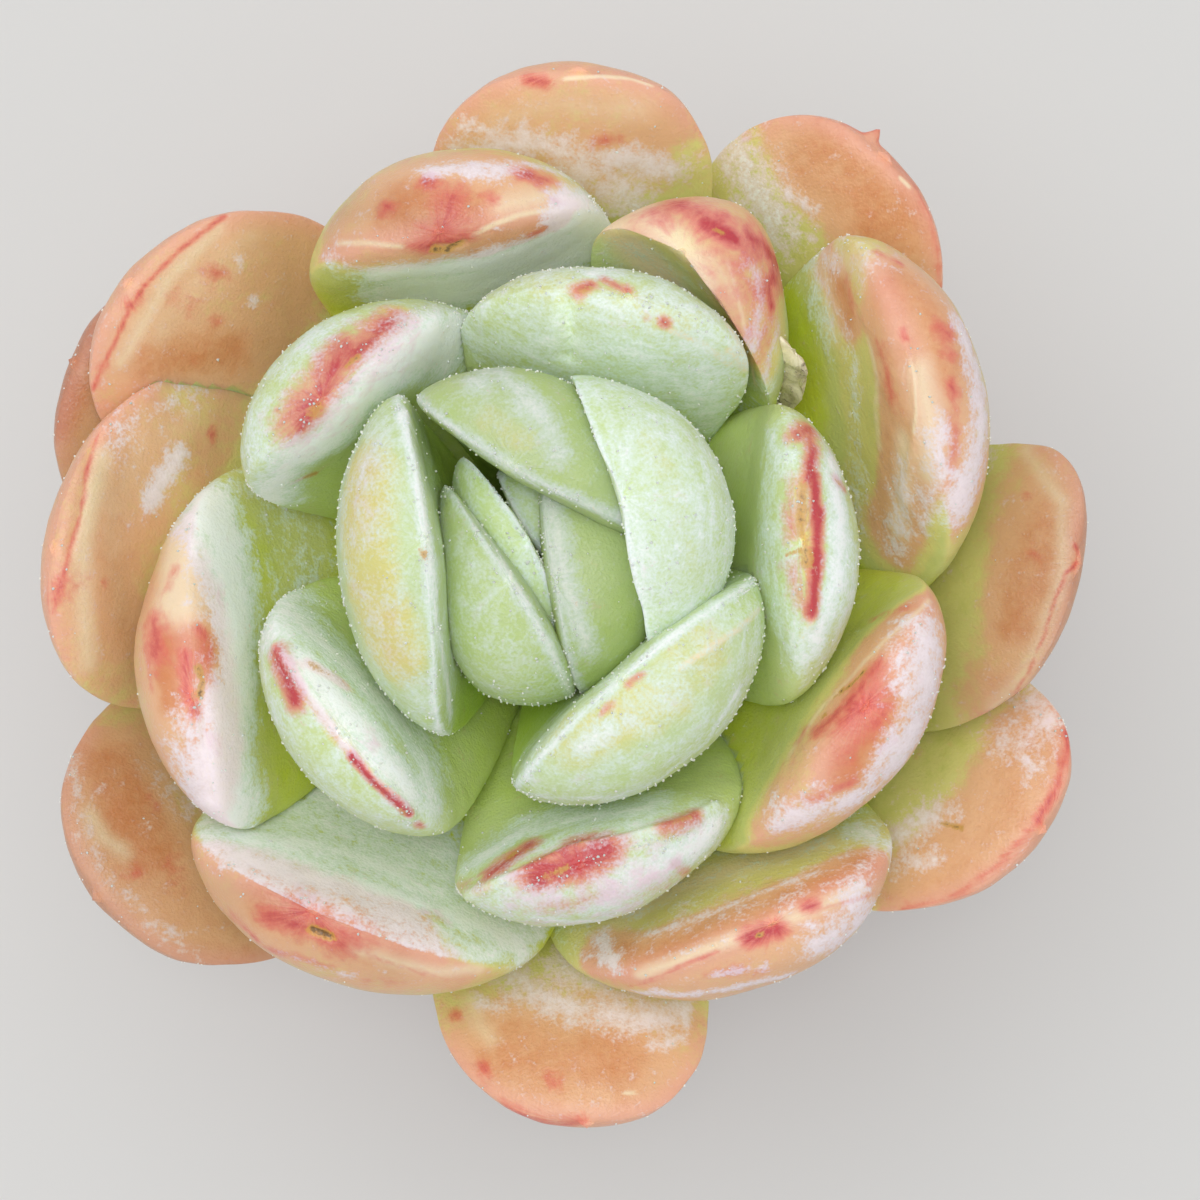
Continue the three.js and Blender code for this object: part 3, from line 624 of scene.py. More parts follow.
        ("cream_and_highlight", 11, 0.6, 470, 1000, 480, 1025, 492, 1040),
        ("red", 6, 0.81, 482, 1066, 485, 1071),
        ("red", 6, 0.72, 550, 1080, 554, 1084),
        ("red", 4, 0.72, 454, 1012, 456, 1015),
        ("red", 6, 0.77, 505, 1110, 540, 1121, 560, 1126, 580, 1121),
        ("ripe", 28, 1.3, 510, 1050, 560, 1070, 610, 1060),
        ("cream_and_highlight", 2, 1.0, 625, 1093, 635, 1093),
    ],
    27: [
        ("ripe", 24, 0.3, 740, 170, 760, 200, 790, 232),
        ("bloom", 20, 0.85, 742, 160, 756, 190, 778, 222),
        ("bloom", 6, 0.75, 788, 193, 798, 200, 808, 208),
        ("red", 6, 0.45, 749, 136, 753, 142),
        ("ripe", 36, 1.3, 830, 165, 865, 190, 900, 225),
        ("red", 3, 0.54, 878, 134, 905, 170, 928, 212, 938, 250, 941, 288),
        ("cream_and_highlight", 2, 1.0, 900, 178, 909, 187),
        ("red", 3, 0.81, 846, 124, 862, 130, 875, 130),
        ("point", 6, 0.9, 875, 133),
    ],
    28: [
        ("red", 4, 0.85, 1076, 718, 1070, 738, 1058, 785, 1037, 822),
        ("red", 3, 0.54, 1037, 822, 996, 867, 951, 897, 884, 914),
        ("bloom", 12, 0.85, 1028, 698, 1040, 712, 1046, 726),
        ("bloom", 14, 0.65, 1005, 735, 1020, 750, 1030, 765),
        ("bloom", 12, 0.8, 900, 838, 920, 822, 940, 808),
        ("bloom", 8, 0.75, 890, 870, 910, 864, 935, 860),
        ("ripe", 34, 1.15, 950, 865, 1005, 815, 1040, 745),
        ("ripe", 24, 0.35, 900, 800, 930, 770, 945, 745),
        ("scar", 2, 0.9, 940, 821, 950, 826, 962, 829),
    ],
    29: [
        ("ripe", 14, 1.4, 60, 420, 75, 370, 110, 310, 150, 270),
    ],
}
PAINTS = ("ripe", "cream_and_highlight", "red", "bloom", "scar", "shade", "margin", "old")


class Wire:
    """A node's output, used in plain arithmetic."""

    def __init__(self, surface, socket):
        self.surface = surface
        self.socket = socket

    def __add__(self, other):
        return self.surface.maths("ADD", self, other)

    __radd__ = __add__

    def __sub__(self, other):
        return self.surface.maths("SUBTRACT", self, other)

    def __rsub__(self, other):
        return self.surface.maths("SUBTRACT", other, self)

    def __mul__(self, other):
        return self.surface.maths("MULTIPLY", self, other)

    __rmul__ = __mul__


class Surface:
    """A material's nodes, built with short calls."""

    def __init__(self, name):
        self.material = bpy.data.materials.new(name)
        self.material.use_nodes = True
        self.tree = self.material.node_tree
        self.shader = self.tree.nodes["Principled BSDF"]

    def node(self, kind, settings, inputs, output=0):
        node = self.tree.nodes.new(kind)
        for name, value in settings.items():
            setattr(node, name, value)
        for key, value in inputs.items():
            self.feed(node.inputs[key], value)
        return Wire(self, node.outputs[output])

    def feed(self, socket, value):
        if isinstance(value, Wire):
            self.tree.links.new(value.socket, socket)
        else:
            socket.default_value = value

    def maths(self, operation, first, second=0.0):
        return self.node("ShaderNodeMath", {"operation": operation}, {0: first, 1: second})

    def mix(self, share, first, second, blend="MIX"):
        first, second = (c if isinstance(c, Wire) else (*c, 1.0) for c in (first, second))
        settings = {"data_type": "RGBA", "blend_type": blend}
        return self.node("ShaderNodeMix", settings, {0: share, 6: first, 7: second}, 2)

    def step(self, value, low, high):
        settings = {"interpolation_type": "SMOOTHSTEP"}
        return self.node("ShaderNodeMapRange", settings, {0: value, 1: low, 2: high, 3: 0.0, 4: 1.0})

    def noise(self, place, size, detail=3.0, roughness=0.55):
        """Cloudy noise about 0.5, with blobs of about the given size in millimetres."""
        inputs = {"Vector": place, "Scale": 1 / (size * MM), "Detail": detail, "Roughness": roughness}
        return self.node("ShaderNodeTexNoise", {}, inputs)

    def cells(self, place, size):
        """Distance to the nearest of scattered points, which are about the given size apart."""
        inputs = {"Vector": place, "Scale": 1 / (size * MM)}
        return self.node("ShaderNodeTexVoronoi", {"feature": "F1"}, inputs)

    def paint(self, name, output="Fac"):
        return self.node("ShaderNodeAttribute", {"attribute_name": name}, {}, output)

    def place(self):
        return self.node("ShaderNodeTexCoord", {}, {}, "Object")

    def bump(self, height, depth, strength=1.0):
        inputs = {"Strength": strength, "Distance": depth * MM, "Height": height}
        return self.node("ShaderNodeBump", {}, inputs)

    def finish(self, **sockets):
        for name, value in sockets.items():
            self.feed(self.shader.inputs[name.replace("_", " ").title()], value)
        return self.material


def colour(red, green, blue):
    """A colour picked as 0 to 255 screen values, as the linear values that a shader takes."""
    def linear(value):
        share = value / 255
        return share / 12.92 if share <= 0.04045 else ((share + 0.055) / 1.055) ** 2.4
    return linear(red), linear(green), linear(blue)


def leaf_skin():
    skin = Surface("leaf_skin")
    place = skin.place()
    grain = skin.paint("grain", "Vector")
    clouds = skin.noise(place, 6.0, 1.0)
    blotches = skin.noise(place, 1.5, 2.0)
    flecks = skin.noise(place, 0.22, 1.0)
    streaks = skin.noise(grain, 0.9, 3.0, 0.65)
    sweeps = skin.noise(grain, 2.8, 2.0)
    haze = skin.noise(place, 0.8, 4.0, 0.7)

    # Flesh, from lime in the crevices through green, straw and peach to orange. The lime deep in the
    # crevices is partly the flesh's own colour and partly painted light: the glow of light shining through
    # the flesh.
    old = skin.paint("old")
    ripe = skin.paint("ripe") + (clouds - 0.5) * 0.35 + (blotches - 0.5) * 0.3
    ripe = ripe + (haze - 0.5) * (0.15 + old * 0.4)
    lime = skin.mix(old, colour(188, 216, 88), colour(206, 212, 44))
    green = skin.mix(old, colour(202, 220, 160), colour(206, 206, 112))
    base = skin.mix(skin.step(ripe, -0.65, 0.05), lime, green)
    base = skin.mix(skin.step(ripe, 0.1, 0.5), base, colour(222, 214, 134))
    base = skin.mix(skin.step(ripe, 0.5, 0.95), base, colour(234, 182, 140))
    base = skin.mix(skin.step(ripe, 0.95, 1.6), base, colour(216, 136, 86))
    blush = skin.step(skin.paint("margin"), 0.1, 0.9) * skin.step(ripe, 0.6, 1.0)
    base = skin.mix(blush * 0.4, base, colour(232, 156, 148))
    # Cream: partly the pale cream flesh of lips and margins, and partly painted highlight and glint.
    cream_and_highlight = skin.step(skin.paint("cream_and_highlight") + (streaks - 0.5) * 0.3, 0.1, 0.9)
    base = skin.mix(cream_and_highlight * 0.85, base, colour(244, 222, 186))

    # Flushes of pink and crimson under the powder
    red = skin.paint("red") + (streaks - 0.5) * 0.9 + (blotches - 0.5) * 0.6 + (haze - 0.5) * 0.5
    flush = skin.mix(old, colour(226, 104, 114), colour(224, 100, 84))
    base = skin.mix(skin.step(red, 0.1, 0.8) * 0.7, base, flush)
    base = skin.mix(skin.step(red, 0.6, 1.2) * 0.85, base, colour(188, 36, 60))

    # Powder, whitest where it lies thickly and thin and cool elsewhere
    drift = (sweeps - 0.5) * 0.6 + (streaks - 0.5) * 0.8
    drift = drift + (haze - 0.5) * (0.36 + old * 1.4) + (flecks - 0.5) * 0.7
    dust = skin.paint("bloom") - skin.paint("red") * 0.4 + drift
    bloom = skin.step(dust, 0.22, 0.78)
    thick = skin.step(dust, 0.6, 1.15)
    ripened = skin.step(ripe, 0.3, 0.9)
    powder = skin.mix(ripened, colour(222, 236, 222), colour(238, 224, 226))
    powder = skin.mix(skin.step(old, 0.7, 1.0) * 0.8, powder, colour(238, 212, 200))
    packed = skin.mix(ripened, colour(250, 252, 252), colour(250, 238, 242))
    powder = skin.mix(thick * (1 - old * 0.3), powder, packed)
    powder = skin.mix(skin.step(red, 0.1, 0.8) * 0.6, powder, colour(230, 190, 206))
    base = skin.mix(bloom * 0.92, base, powder)
    # Painted shade: darkens the leaf where the shade paint lies, for the shade that the leaves around it
    # cast.
    base = skin.mix(skin.paint("shade"), base, (0.7, 0.7, 0.64), "MULTIPLY")

    # Corky scars, straw at the edge and dark inside
    scar = skin.paint("scar") + (blotches - 0.5) * 0.9 + (flecks - 0.5) * 0.7
    base = skin.mix(skin.step(scar, 0.2, 0.6) * 0.8, base, colour(206, 156, 76))
    base = skin.mix(skin.step(scar, 0.6, 1.0) * 0.85, base, colour(98, 76, 52))

    relief = flecks * 0.7 + streaks * 0.7 + skin.paint("bloom") * 0.5
    skin.shader.subsurface_method = "BURLEY"
    skin.shader.inputs["Subsurface Radius"].default_value = GLOW_COLOURS
    skin.shader.inputs["Subsurface Scale"].default_value = GLOW_DEPTH * MM
    return skin.finish(
        base_color=base,
        roughness=0.38 + bloom * 0.35,
        normal=skin.bump(relief, SKIN_RELIEF),
        subsurface_weight=GLOW_SHARE,
    )


def plain_skin(name, dark, light, size, roughness, depth):
    """A mottled matt surface, for bark, soil and grit."""
    skin = Surface(name)
    place = skin.place()
    mottle = skin.noise(place, size, 5.0, 0.65)
    base = skin.mix(skin.step(mottle, 0.35, 0.68), dark, light)
    return skin.finish(base_color=base, roughness=roughness, normal=skin.bump(mottle, depth))


def dry_skin():
    """Papery beige, made paler than the leaf itself as painted light for its shaded place, with grey brown
    specks and pale fibres along the leaf.
    """
    skin = Surface("dry_leaf")
    place = skin.place()
    specks = skin.noise(place, 0.35, 3.0, 0.7)
    patches = skin.noise(place, 2.2, 3.0)
    fibres = skin.noise(skin.paint("grain", "Vector"), 0.5, 3.0)
    base = skin.mix(skin.step(patches, 0.4, 0.6), colour(250, 240, 208), colour(218, 204, 178))
    base = skin.mix(skin.step(fibres, 0.5, 0.7) * 0.4, base, colour(248, 240, 210))
    speckled = skin.step(specks, 0.54, 0.66) * skin.step(patches, 0.4, 0.6)
    base = skin.mix(speckled * 0.8, base, colour(104, 86, 74))
    return skin.finish(base_color=base, roughness=0.72, normal=skin.bump(specks + fibres, 0.12))


def clay_skin():
    clay = Surface("fired_clay")
    place = clay.place()
    clouds = clay.noise(place, 14.0, 3.0)
    grit = clay.noise(place, 0.5, 3.0)
    pores = clay.cells(place, 0.9)
    salt = clay.noise(place, 7.0, 6.0, 0.7)
    base = clay.mix(clay.step(clouds, 0.3, 0.7), colour(178, 98, 62), colour(200, 122, 82))
    base = clay.mix(clay.step(grit, 0.55, 0.7) * 0.35, base, colour(222, 160, 122))
    base = clay.mix(clay.step(salt, 0.56, 0.72) * 0.45, base, colour(226, 206, 188))
    pits = clay.step(pores, 0.0, 0.22)
    base = clay.mix((1 - pits) * 0.5, base, colour(120, 62, 40))
    return clay.finish(base_color=base, roughness=0.86, normal=clay.bump(grit * 0.6 + pits * 0.5, 0.12))


def grain_skin():
    grains = Surface("wax_grain")
    return grains.finish(base_color=(0.95, 0.96, 0.9, 1.0), roughness=0.2, subsurface_weight=0.3)


def new_object(name, points, faces, material):
    mesh = bpy.data.meshes.new(name)
    mesh.from_pydata([tuple(p) for p in points * MM], [], faces)
    mesh.polygons.foreach_set("use_smooth", [True] * len(mesh.polygons))
    if material:
        mesh.materials.append(material)
    mesh.update()
    piece = bpy.data.objects.new(name, mesh)
    bpy.context.scene.collection.objects.link(piece)
    return piece


def settle(piece, node=None):
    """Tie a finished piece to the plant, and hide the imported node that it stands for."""
    if node:
        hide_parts(node)
    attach(piece, "root")


def grid_faces(rings, sides, first=0, wrap=False):
    """Quads between rings of points. wrap also joins the last ring to the first."""
    def at(ring, side):
        return first + (ring % rings) * sides + side % sides
    last = rings if wrap else rings - 1
    return [
        (at(ring, side), at(ring, side + 1), at(ring + 1, side + 1), at(ring + 1, side))
        for ring in range(last)
        for side in range(sides)
    ]


def capped_faces(rings, sides):
    """Faces of a closed skin: a first point, rings of points, and a last point."""
    faces = grid_faces(rings, sides, first=1)
    top = 1 + (rings - 1) * sides
    end = 1 + rings * sides
    for side in range(sides):
        after = (side + 1) % sides
        faces.append((0, 1 + after, 1 + side))
        faces.append((top + side, top + after, end))
    return faces


def smooth(value, low, high):
    share = np.clip((value - low) / (high - low), 0, 1)
    return share * share * (3 - 2 * share)


def stem_radius(above_apex):
    heights, radii = zip(*STEM_PROFILE)
    return np.interp(above_apex, heights, radii)


def swell(along, peak, low, blunt):
    """A share that rises from low at the root to 1 at peak, and closes round at the tip."""
    past = np.clip((along - peak) / (1 - peak), 0, 1)
    rise = low + (1 - low) * np.sin(np.pi / 2 * np.clip(along / peak, 0, 1))
    return np.where(along < peak, rise, np.maximum(1 - past**blunt, 0) ** (1 / blunt))


def middle_line(leaf, age, along):
    """Places and headings on a leaf's middle line, as distance from the stem's middle and height."""
    low = -LEAF_STEP * age
    root = np.array([stem_radius(low) - LEAF_ROOT, STEM_APEX + low])
    tip = np.array([leaf["reach"], STEM_APEX + leaf["height"]])
    pull = BEND * np.linalg.norm(tip - root)
    first, last = np.radians(leaf["rise"])
    second = root + pull * np.array([math.cos(first), math.sin(first)])
    third = tip - pull * np.array([math.cos(last), math.sin(last)])
    t = along[:, None]
    places = (1 - t) ** 3 * root + 3 * (1 - t) ** 2 * t * second + 3 * (1 - t) * t**2 * third + t**3 * tip
    headings = (1 - t) ** 2 * (second - root) + 2 * (1 - t) * t * (third - second) + t**2 * (tip - third)
    return places, headings / np.linalg.norm(headings, axis=1, keepdims=True)


def leaf_shape(leaf, age, rings, front_sides, back_sides):
    """Points of a leaf, and for each point its share along the leaf, across it and out of its face."""
    along = np.sin(np.pi / 2 * np.arange(rings) / rings)
    places, headings = middle_line(leaf, age, along)
    turn = math.radians(leaf["turn"])
    outward = np.array([math.cos(turn), math.sin(turn), 0])
    aside = np.array([-math.sin(turn), math.cos(turn), 0])
    up = np.array([0, 0, 1])
    stem = np.array([STEM_X, STEM_Y, 0])

    normals = headings[:, :1] * up - headings[:, 1:] * outward
    middles = stem + places[:, :1] * outward + places[:, 1:] * up
    middles = middles + (leaf["sweep"] * along**2)[:, None] * aside
    half_width = leaf["width"] / 2 * swell(along, WIDEST, ROOT_WIDTH, leaf.get("blunt", TIP_BLUNTNESS))
    plump = swell(along, PLUMPEST, ROOT_THICKNESS, THICKNESS_BLUNTNESS)

    front_angles = np.pi * np.arange(front_sides) / front_sides
    back_angles = np.pi + np.pi * np.arange(back_sides) / back_sides
    angle = np.concatenate([front_angles, back_angles])
    across, lift = np.cos(angle), np.sin(angle)
    front = leaf.get("front", FRONT) * np.abs(lift) ** (2 * leaf.get("dome", FRONT_DOME))
    back = -leaf.get("back", BACK) * np.abs(lift) ** (2 * BACK_DOME)
    face = np.where(lift >= 0, front, back) * (1 + leaf.get("lean", 0) * across)
    bulge = plump[:, None] * (face + leaf.get("cup", 0) * across**2)
    points = middles[:, None, :] + (half_width[:, None] * across)[..., None] * aside
    points = points + bulge[..., None] * normals[:, None, :]

    tip_places, tip_headings = middle_line(leaf, age, np.array([1.0]))
    tip = stem + leaf["sweep"] * aside
    tip = tip + (tip_places[0, 0] + POINT * tip_headings[0, 0]) * outward
    tip = tip + (tip_places[0, 1] + POINT * tip_headings[0, 1]) * up
    points = np.vstack([middles[:1], points.reshape(-1, 3), tip])
    share = np.stack(np.broadcast_arrays(along[:, None], across, lift), -1).reshape(-1, 3)
    share = np.vstack([[0, 0, 0], share, [1, 0, 0]])
    return points, share


def uneven(points, size, depth, salt):
    """Soft hollows and swells, of a size and depth in millimetres."""
    shift = Vector((salt, 0, 0))
    return np.array([depth * noise.noise(Vector(p) / size + shift) for p in points])


def stored(data, name, width=3):
    values = np.zeros(len(data) * width)
    data.foreach_get(name, values)
    return values.reshape(-1, width) if width > 1 else values


def normals_of(points, faces):
    """The outward direction at each point of a skin."""
    draft = new_object("draft", points, faces, None)
    normals = stored(draft.data.vertices, "normal")
    bpy.data.objects.remove(draft)
    return normals


def box_of(piece):
    points = stored(piece.data.vertices, "co")
    return points.min(axis=0), points.max(axis=0)


def cut_clear(piece, crowd):
    """Cut a leaf back to where it meets the younger leaves of the crowd."""
    low, high = box_of(piece)
    near = bpy.data.collections.new("near")
    for cutter in crowd:
        cutter_low, cutter_high = box_of(cutter)
        if np.all(cutter_low < high) and np.all(cutter_high > low):
            near.objects.link(cutter)
    if near.objects:
        cut = piece.modifiers.new("clear", "BOOLEAN")
        cut.operation = "DIFFERENCE"
        cut.solver = "MANIFOLD"
        cut.operand_type = "COLLECTION"
        cut.collection = near
        shaped = piece.evaluated_get(bpy.context.evaluated_depsgraph_get())
        piece.data = bpy.data.meshes.new_from_object(shaped)
        piece.modifiers.clear()
        drop_scraps(piece.data)
        piece.data.set_sharp_from_angle(angle=math.radians(CREASE_ANGLE))
    bpy.data.collections.remove(near)


def drop_scraps(mesh):
    """Keep only the largest body of a mesh."""
    form = bmesh.new()
    form.from_mesh(mesh)
    unseen = set(form.verts)
    bodies = []
    while unseen:
        body, edge = [], [unseen.pop()]
        while edge:
            corner = edge.pop()
            body.append(corner)
            for line in corner.link_edges:
                after = line.other_vert(corner)
                if after in unseen:
                    unseen.remove(after)
                    edge.append(after)
        bodies.append(body)
    bodies.sort(key=len)
    for body in bodies[:-1]:
        bmesh.ops.delete(form, geom=body, context="VERTS")
    form.to_mesh(mesh)
    form.free()


def lumpy(points, normals, age):
    """A leaf's points, moved a little in and out as living leaves are."""
    return points + normals * sum(uneven(points, size, depth, age) for size, depth in SWELLS)[:, None]


def on_leaf(tree, pixel, height):
    """The place on a leaf that shows at a pixel of the photograph, or the leaf's nearest place to it."""
    eye = Vector((CAMERA_X, CAMERA_Y, FOCUS_HEIGHT + CAMERA_RISE))
    x, y = pixel
    ray = Vector(((x - PHOTO_SIDE / 2) / PIXEL_FOCAL_LENGTH, (PHOTO_SIDE / 2 - y) / PIXEL_FOCAL_LENGTH, -1))
    place, _, _, _ = tree.ray_cast(eye, ray.normalized())
    if place is None:
        place, _, _, _ = tree.find_nearest(eye + ray * (eye.z - height))
    return np.array(place)


def path_on_leaf(tree, pixels, height):
    """A stroke's path laid on a leaf, in steps short enough to follow its curves."""
    steps = [np.array(pixels[0], float)]
    for start, end in zip(pixels, pixels[1:]):
        count = math.ceil(math.dist(start, end) / STROKE_STEP)
        first, run = np.array(start), np.array(end) - np.array(start)
        steps += [first + run * (step + 1) / count for step in range(count)]
    return [on_leaf(tree, pixel, height) for pixel in steps]


def distance_to_path(points, path):
    """How far each point is from a line through the path's places."""
    nearest = np.linalg.norm(points - path[0], axis=1)
    for start, end in zip(path, path[1:]):
        run = end - start
        share = np.clip((points - start) @ run / (run @ run + 1e-9), 0, 1)
        nearest = np.minimum(nearest, np.linalg.norm(points - start - share[:, None] * run, axis=1))
    return nearest


def trait(leaf, age, name):
    """A leaf's own value, or else that of its group."""
    group = sum(age > last for last in GROUP_ENDS)
    return leaf.get(name, TRAITS[name][group])


def leaf_paints(leaf, age, points, share, front_sides):
    """The paints that a leaf has before any mark: ripening along it, lime in its depths that is partly
    painted glow, powder, its margin and painted shade.
    """
    along, _, lift = share.T
    below = points[:, 2].max() - points[:, 2]
    deep = np.clip(below / DEEP, 0, 1)
    facing = smooth(lift, *FACING)
    rings = points[1:-1].reshape(LEAF_RINGS, LEAF_SIDES, 3)
    margin = [*rings[:, 0], points[-1], *rings[::-1, front_sides]]
    paints = {name: np.zeros(len(points)) for name in PAINTS}
    ripe = 0.0
    if age > PALE_END:
        ripe = smooth(along, leaf["start"] - RIPENS_BEFORE, leaf["start"] + RIPENS_AFTER)
    faced = facing * leaf.get("green_face", smooth(below, *GREEN_BELOW) if age <= MIDDLE_END else 0.0)
    paints["ripe"] = trait(leaf, age, "green") + ripe * (1 - GREEN_HOLD * faced)
    # Lime deep below the leaf's top: partly the flesh's own colour, and partly painted light, the glow
    # through the flesh in the shaded crevices.
    paints["ripe"] = paints["ripe"] - trait(leaf, age, "lime") * deep**DEEP_CURVE
    paints["margin"] = 1 - np.clip(distance_to_path(points, margin) / MARGIN_REACH, 0, 1)
    near = np.clip(2 * paints["margin"] - 1, 0, 1)
    first_clean = trait(leaf, age, "powdered")
    clean = smooth(below, first_clean, first_clean + CLEAN_FADE) * np.where(lift > 0, 1, BACK_CLEAN)
    powder = np.maximum(trait(leaf, age, "dust"), trait(leaf, age, "frost") * near)
    powder = np.maximum(powder, leaf.get("face", 0.0) * facing)
    under = 0.0
    if age > PALE_END:
        under = UNDER_DUST * smooth(-lift, *UNDER_FACING) * smooth(below, *UNDER_BELOW)
    paints["bloom"] = np.maximum(powder * (1 - clean) - BARE * clean, under)
    # Painted shade over the whole leaf, as much as its row gives.
    paints["shade"] += leaf.get("shade", 0.0)
    paints["old"] += trait(leaf, age, "old")
    return paints


def lay_strokes(strokes, points, normals, outward, faces, paints):
    """Lay a leaf's marks on it, as paint and as dents."""
    tree = BVHTree.FromPolygons([tuple(p) for p in points], faces)
    height = points[:, 2].max() - 1
    moved = points.copy()
    for kind, half_width, strength, *pixels in strokes:
        path = path_on_leaf(tree, list(zip(pixels[::2], pixels[1::2])), height)
        spread = SPREAD.get(kind, 1.0)
        away = distance_to_path(points, path) * PIXELS_PER_MM / (half_width * spread)
        fall = np.clip(1 - away / 2, 0, 1)
        if kind == "ripe":
            pull = smooth(fall, 0.0, 0.9)
            paints["ripe"] = paints["ripe"] * (1 - pull) + strength * pull
        elif kind == "press":
            moved += (strength * np.exp(-away**2))[:, None] * normals
        elif kind == "point":
            moved += (strength * np.exp(-away**2))[:, None] * outward
        else:
            paints[kind] = np.maximum(paints[kind], strength * fall)
    return moved


def set_paints(piece, paints, grain):
    for name, values in paints.items():
        attribute = piece.data.attributes.new(name, "FLOAT", "POINT")
        attribute.data.foreach_set("value", values.astype(np.float32))
    attribute = piece.data.attributes.new("grain", "FLOAT_VECTOR", "POINT")
    attribute.data.foreach_set("vector", (grain * MM).ravel())


def add_leaf(name, leaf, age, crowd, material):
    front_sides = int(LEAF_SIDES * trait(leaf, age, "front_share"))
    points, share = leaf_shape(leaf, age, LEAF_RINGS, front_sides, LEAF_SIDES - front_sides)
    faces = capped_faces(LEAF_RINGS, LEAF_SIDES)
    normals = normals_of(points, faces)
    turn = math.radians(leaf["turn"])
    outward = np.array([math.cos(turn), math.sin(turn), 0])
    paints = leaf_paints(leaf, age, points, share, front_sides)
    points = lay_strokes(STROKES.get(age, []), points, normals, outward, faces, paints)
    points = lumpy(points, normals, age)
    piece = new_object(name, points, faces, material)

    along, across, lift = share.T
    long, wide = (GRAIN_STRETCH, 1.0) if age > MIDDLE_END else (1.0, GRAIN_STRETCH)
    inward = lift * GRAIN_DEPTH + age * GRAIN_APART
    grain = np.stack([along * GRAIN_LENGTH * long, across * leaf["width"] / 2 * wide, inward], -1)
    set_paints(piece, paints, grain)
    cut_clear(piece, crowd)
    cutter = new_object(f"cutter_{age:02d}", points - CUTTER_DEPTH * normals, faces, None)
    set_paints(cutter, paints, grain)
    crowd.append(cutter)
    return piece


def add_leaves():
    crowd = []
    skin = leaf_skin()
    leaves = []
    for age, leaf in enumerate(ALL_LEAVES):
        name = f"leaf_{age:02d}" if age else "heart_bud"
        piece = add_leaf(name, leaf, age, crowd, skin)
        settle(piece, name)
        leaves.append(piece)
    add_dried_leaf(crowd)
    for cutter in crowd:
        bpy.data.objects.remove(cutter)
    return leaves


def add_dried_leaf(crowd):
    """The withered leaf, papery and crumpled."""
    points, share = leaf_shape(DRY_LEAF, DRY_LEAF_AGE, DRY_RINGS, DRY_HALF_SIDES, DRY_HALF_SIDES)
    faces = capped_faces(DRY_RINGS, 2 * DRY_HALF_SIDES)
    crumple = sum(uneven(points, size, depth, salt) for size, depth, salt in DRY_CRUMPLES)
    points = points + normals_of(points, faces) * crumple[:, None]
    piece = new_object("dried_leaf", points, faces, dry_skin())
    set_paints(piece, {}, share * DRY_GRAIN)
    cut_clear(piece, crowd)
    settle(piece, "dried_leaf")


def ball(fineness):
    """Points and faces of a small round solid."""
    form = bmesh.new()
    bmesh.ops.create_icosphere(form, subdivisions=fineness, radius=1.0)
    points = np.array([tuple(v.co) for v in form.verts])
    faces = [tuple(v.index for v in face.verts) for face in form.faces]
    form.free()
    return points, faces


def add_grains(name, places, sizes, fineness, roughness, material, rng):
    """Many small lumps, joined into one piece."""
    shape, shape_faces = ball(fineness)
    points, faces = [], []
    for place, size in zip(places, sizes):
        lumps = 1 + roughness * rng.uniform(-1, 1, (len(shape), 1))
        spin, _ = np.linalg.qr(rng.normal(size=(3, 3)))
        if np.linalg.det(spin) < 0:
            spin = -spin
        stretch = 1 + roughness * rng.uniform(-1, 1, 3)
        offset = len(points) * len(shape)
        points.append((shape * lumps * stretch * size) @ spin + place)
        faces += [tuple(offset + corner for corner in face) for face in shape_faces]
    return new_object(name, np.vstack(points), faces, material)


def add_wax_grains(leaves, rng):
    """Grains of wax on the powdery parts and margins that face up, most on the inner leaves."""
    places, weights = [], []
    for age, (leaf, piece) in enumerate(zip(ALL_LEAVES, leaves)):
        mesh = piece.data
        centres = stored(mesh.polygons, "center") / MM
        normals = stored(mesh.polygons, "normal")
        areas = stored(mesh.polygons, "area", 1) / MM**2
        corners = np.array([polygon.vertices[0] for polygon in mesh.polygons])
        powder = stored(mesh.attributes["bloom"].data, "value", 1)[corners]
        edge = stored(mesh.attributes["margin"].data, "value", 1)[corners]
        outward = (centres[:, :2] - [STEM_X, STEM_Y]) * normals[:, :2]
        rim = (np.abs(normals[:, 2]) < WAX_RIM_SLOPE) & (outward.sum(axis=1) > 0)
        clumps = 1 + np.sin(centres @ (2.1, 1.3, 1.7)) * np.sin(centres @ (-1.1, 2.3, 0.9))
        weight = WAX_ON_SKIN + WAX_ON_MARGIN * edge**3 + WAX_ON_RIM * rim
        weight = weight * np.clip(2 * powder, WAX_LEAST, 1) * clumps**3
        weight = weight * areas * (normals[:, 2] > WAX_LOWEST_SLOPE) * trait(leaf, age, "wax")
        places.append(centres + normals * WAX_GRAIN_RADIUS * WAX_LIFT)
        weights.append(weight)
    places = np.vstack(places)
    weights = np.concatenate(weights)
    chosen = rng.choice(len(places), WAX_GRAINS, replace=False, p=weights / weights.sum())
    sizes = WAX_GRAIN_RADIUS * rng.uniform(*WAX_SIZES, WAX_GRAINS)
    grains = add_grains("wax_grains", places[chosen], sizes, 1, 0.25, grain_skin(), rng)
    settle(grains)


def pot_inner_radius(height):
    slope = (POT_RIM_RADIUS - POT_RIM_STEP - POT_BASE_RADIUS) / POT_HEIGHT
    return POT_BASE_RADIUS + slope * height - POT_WALL


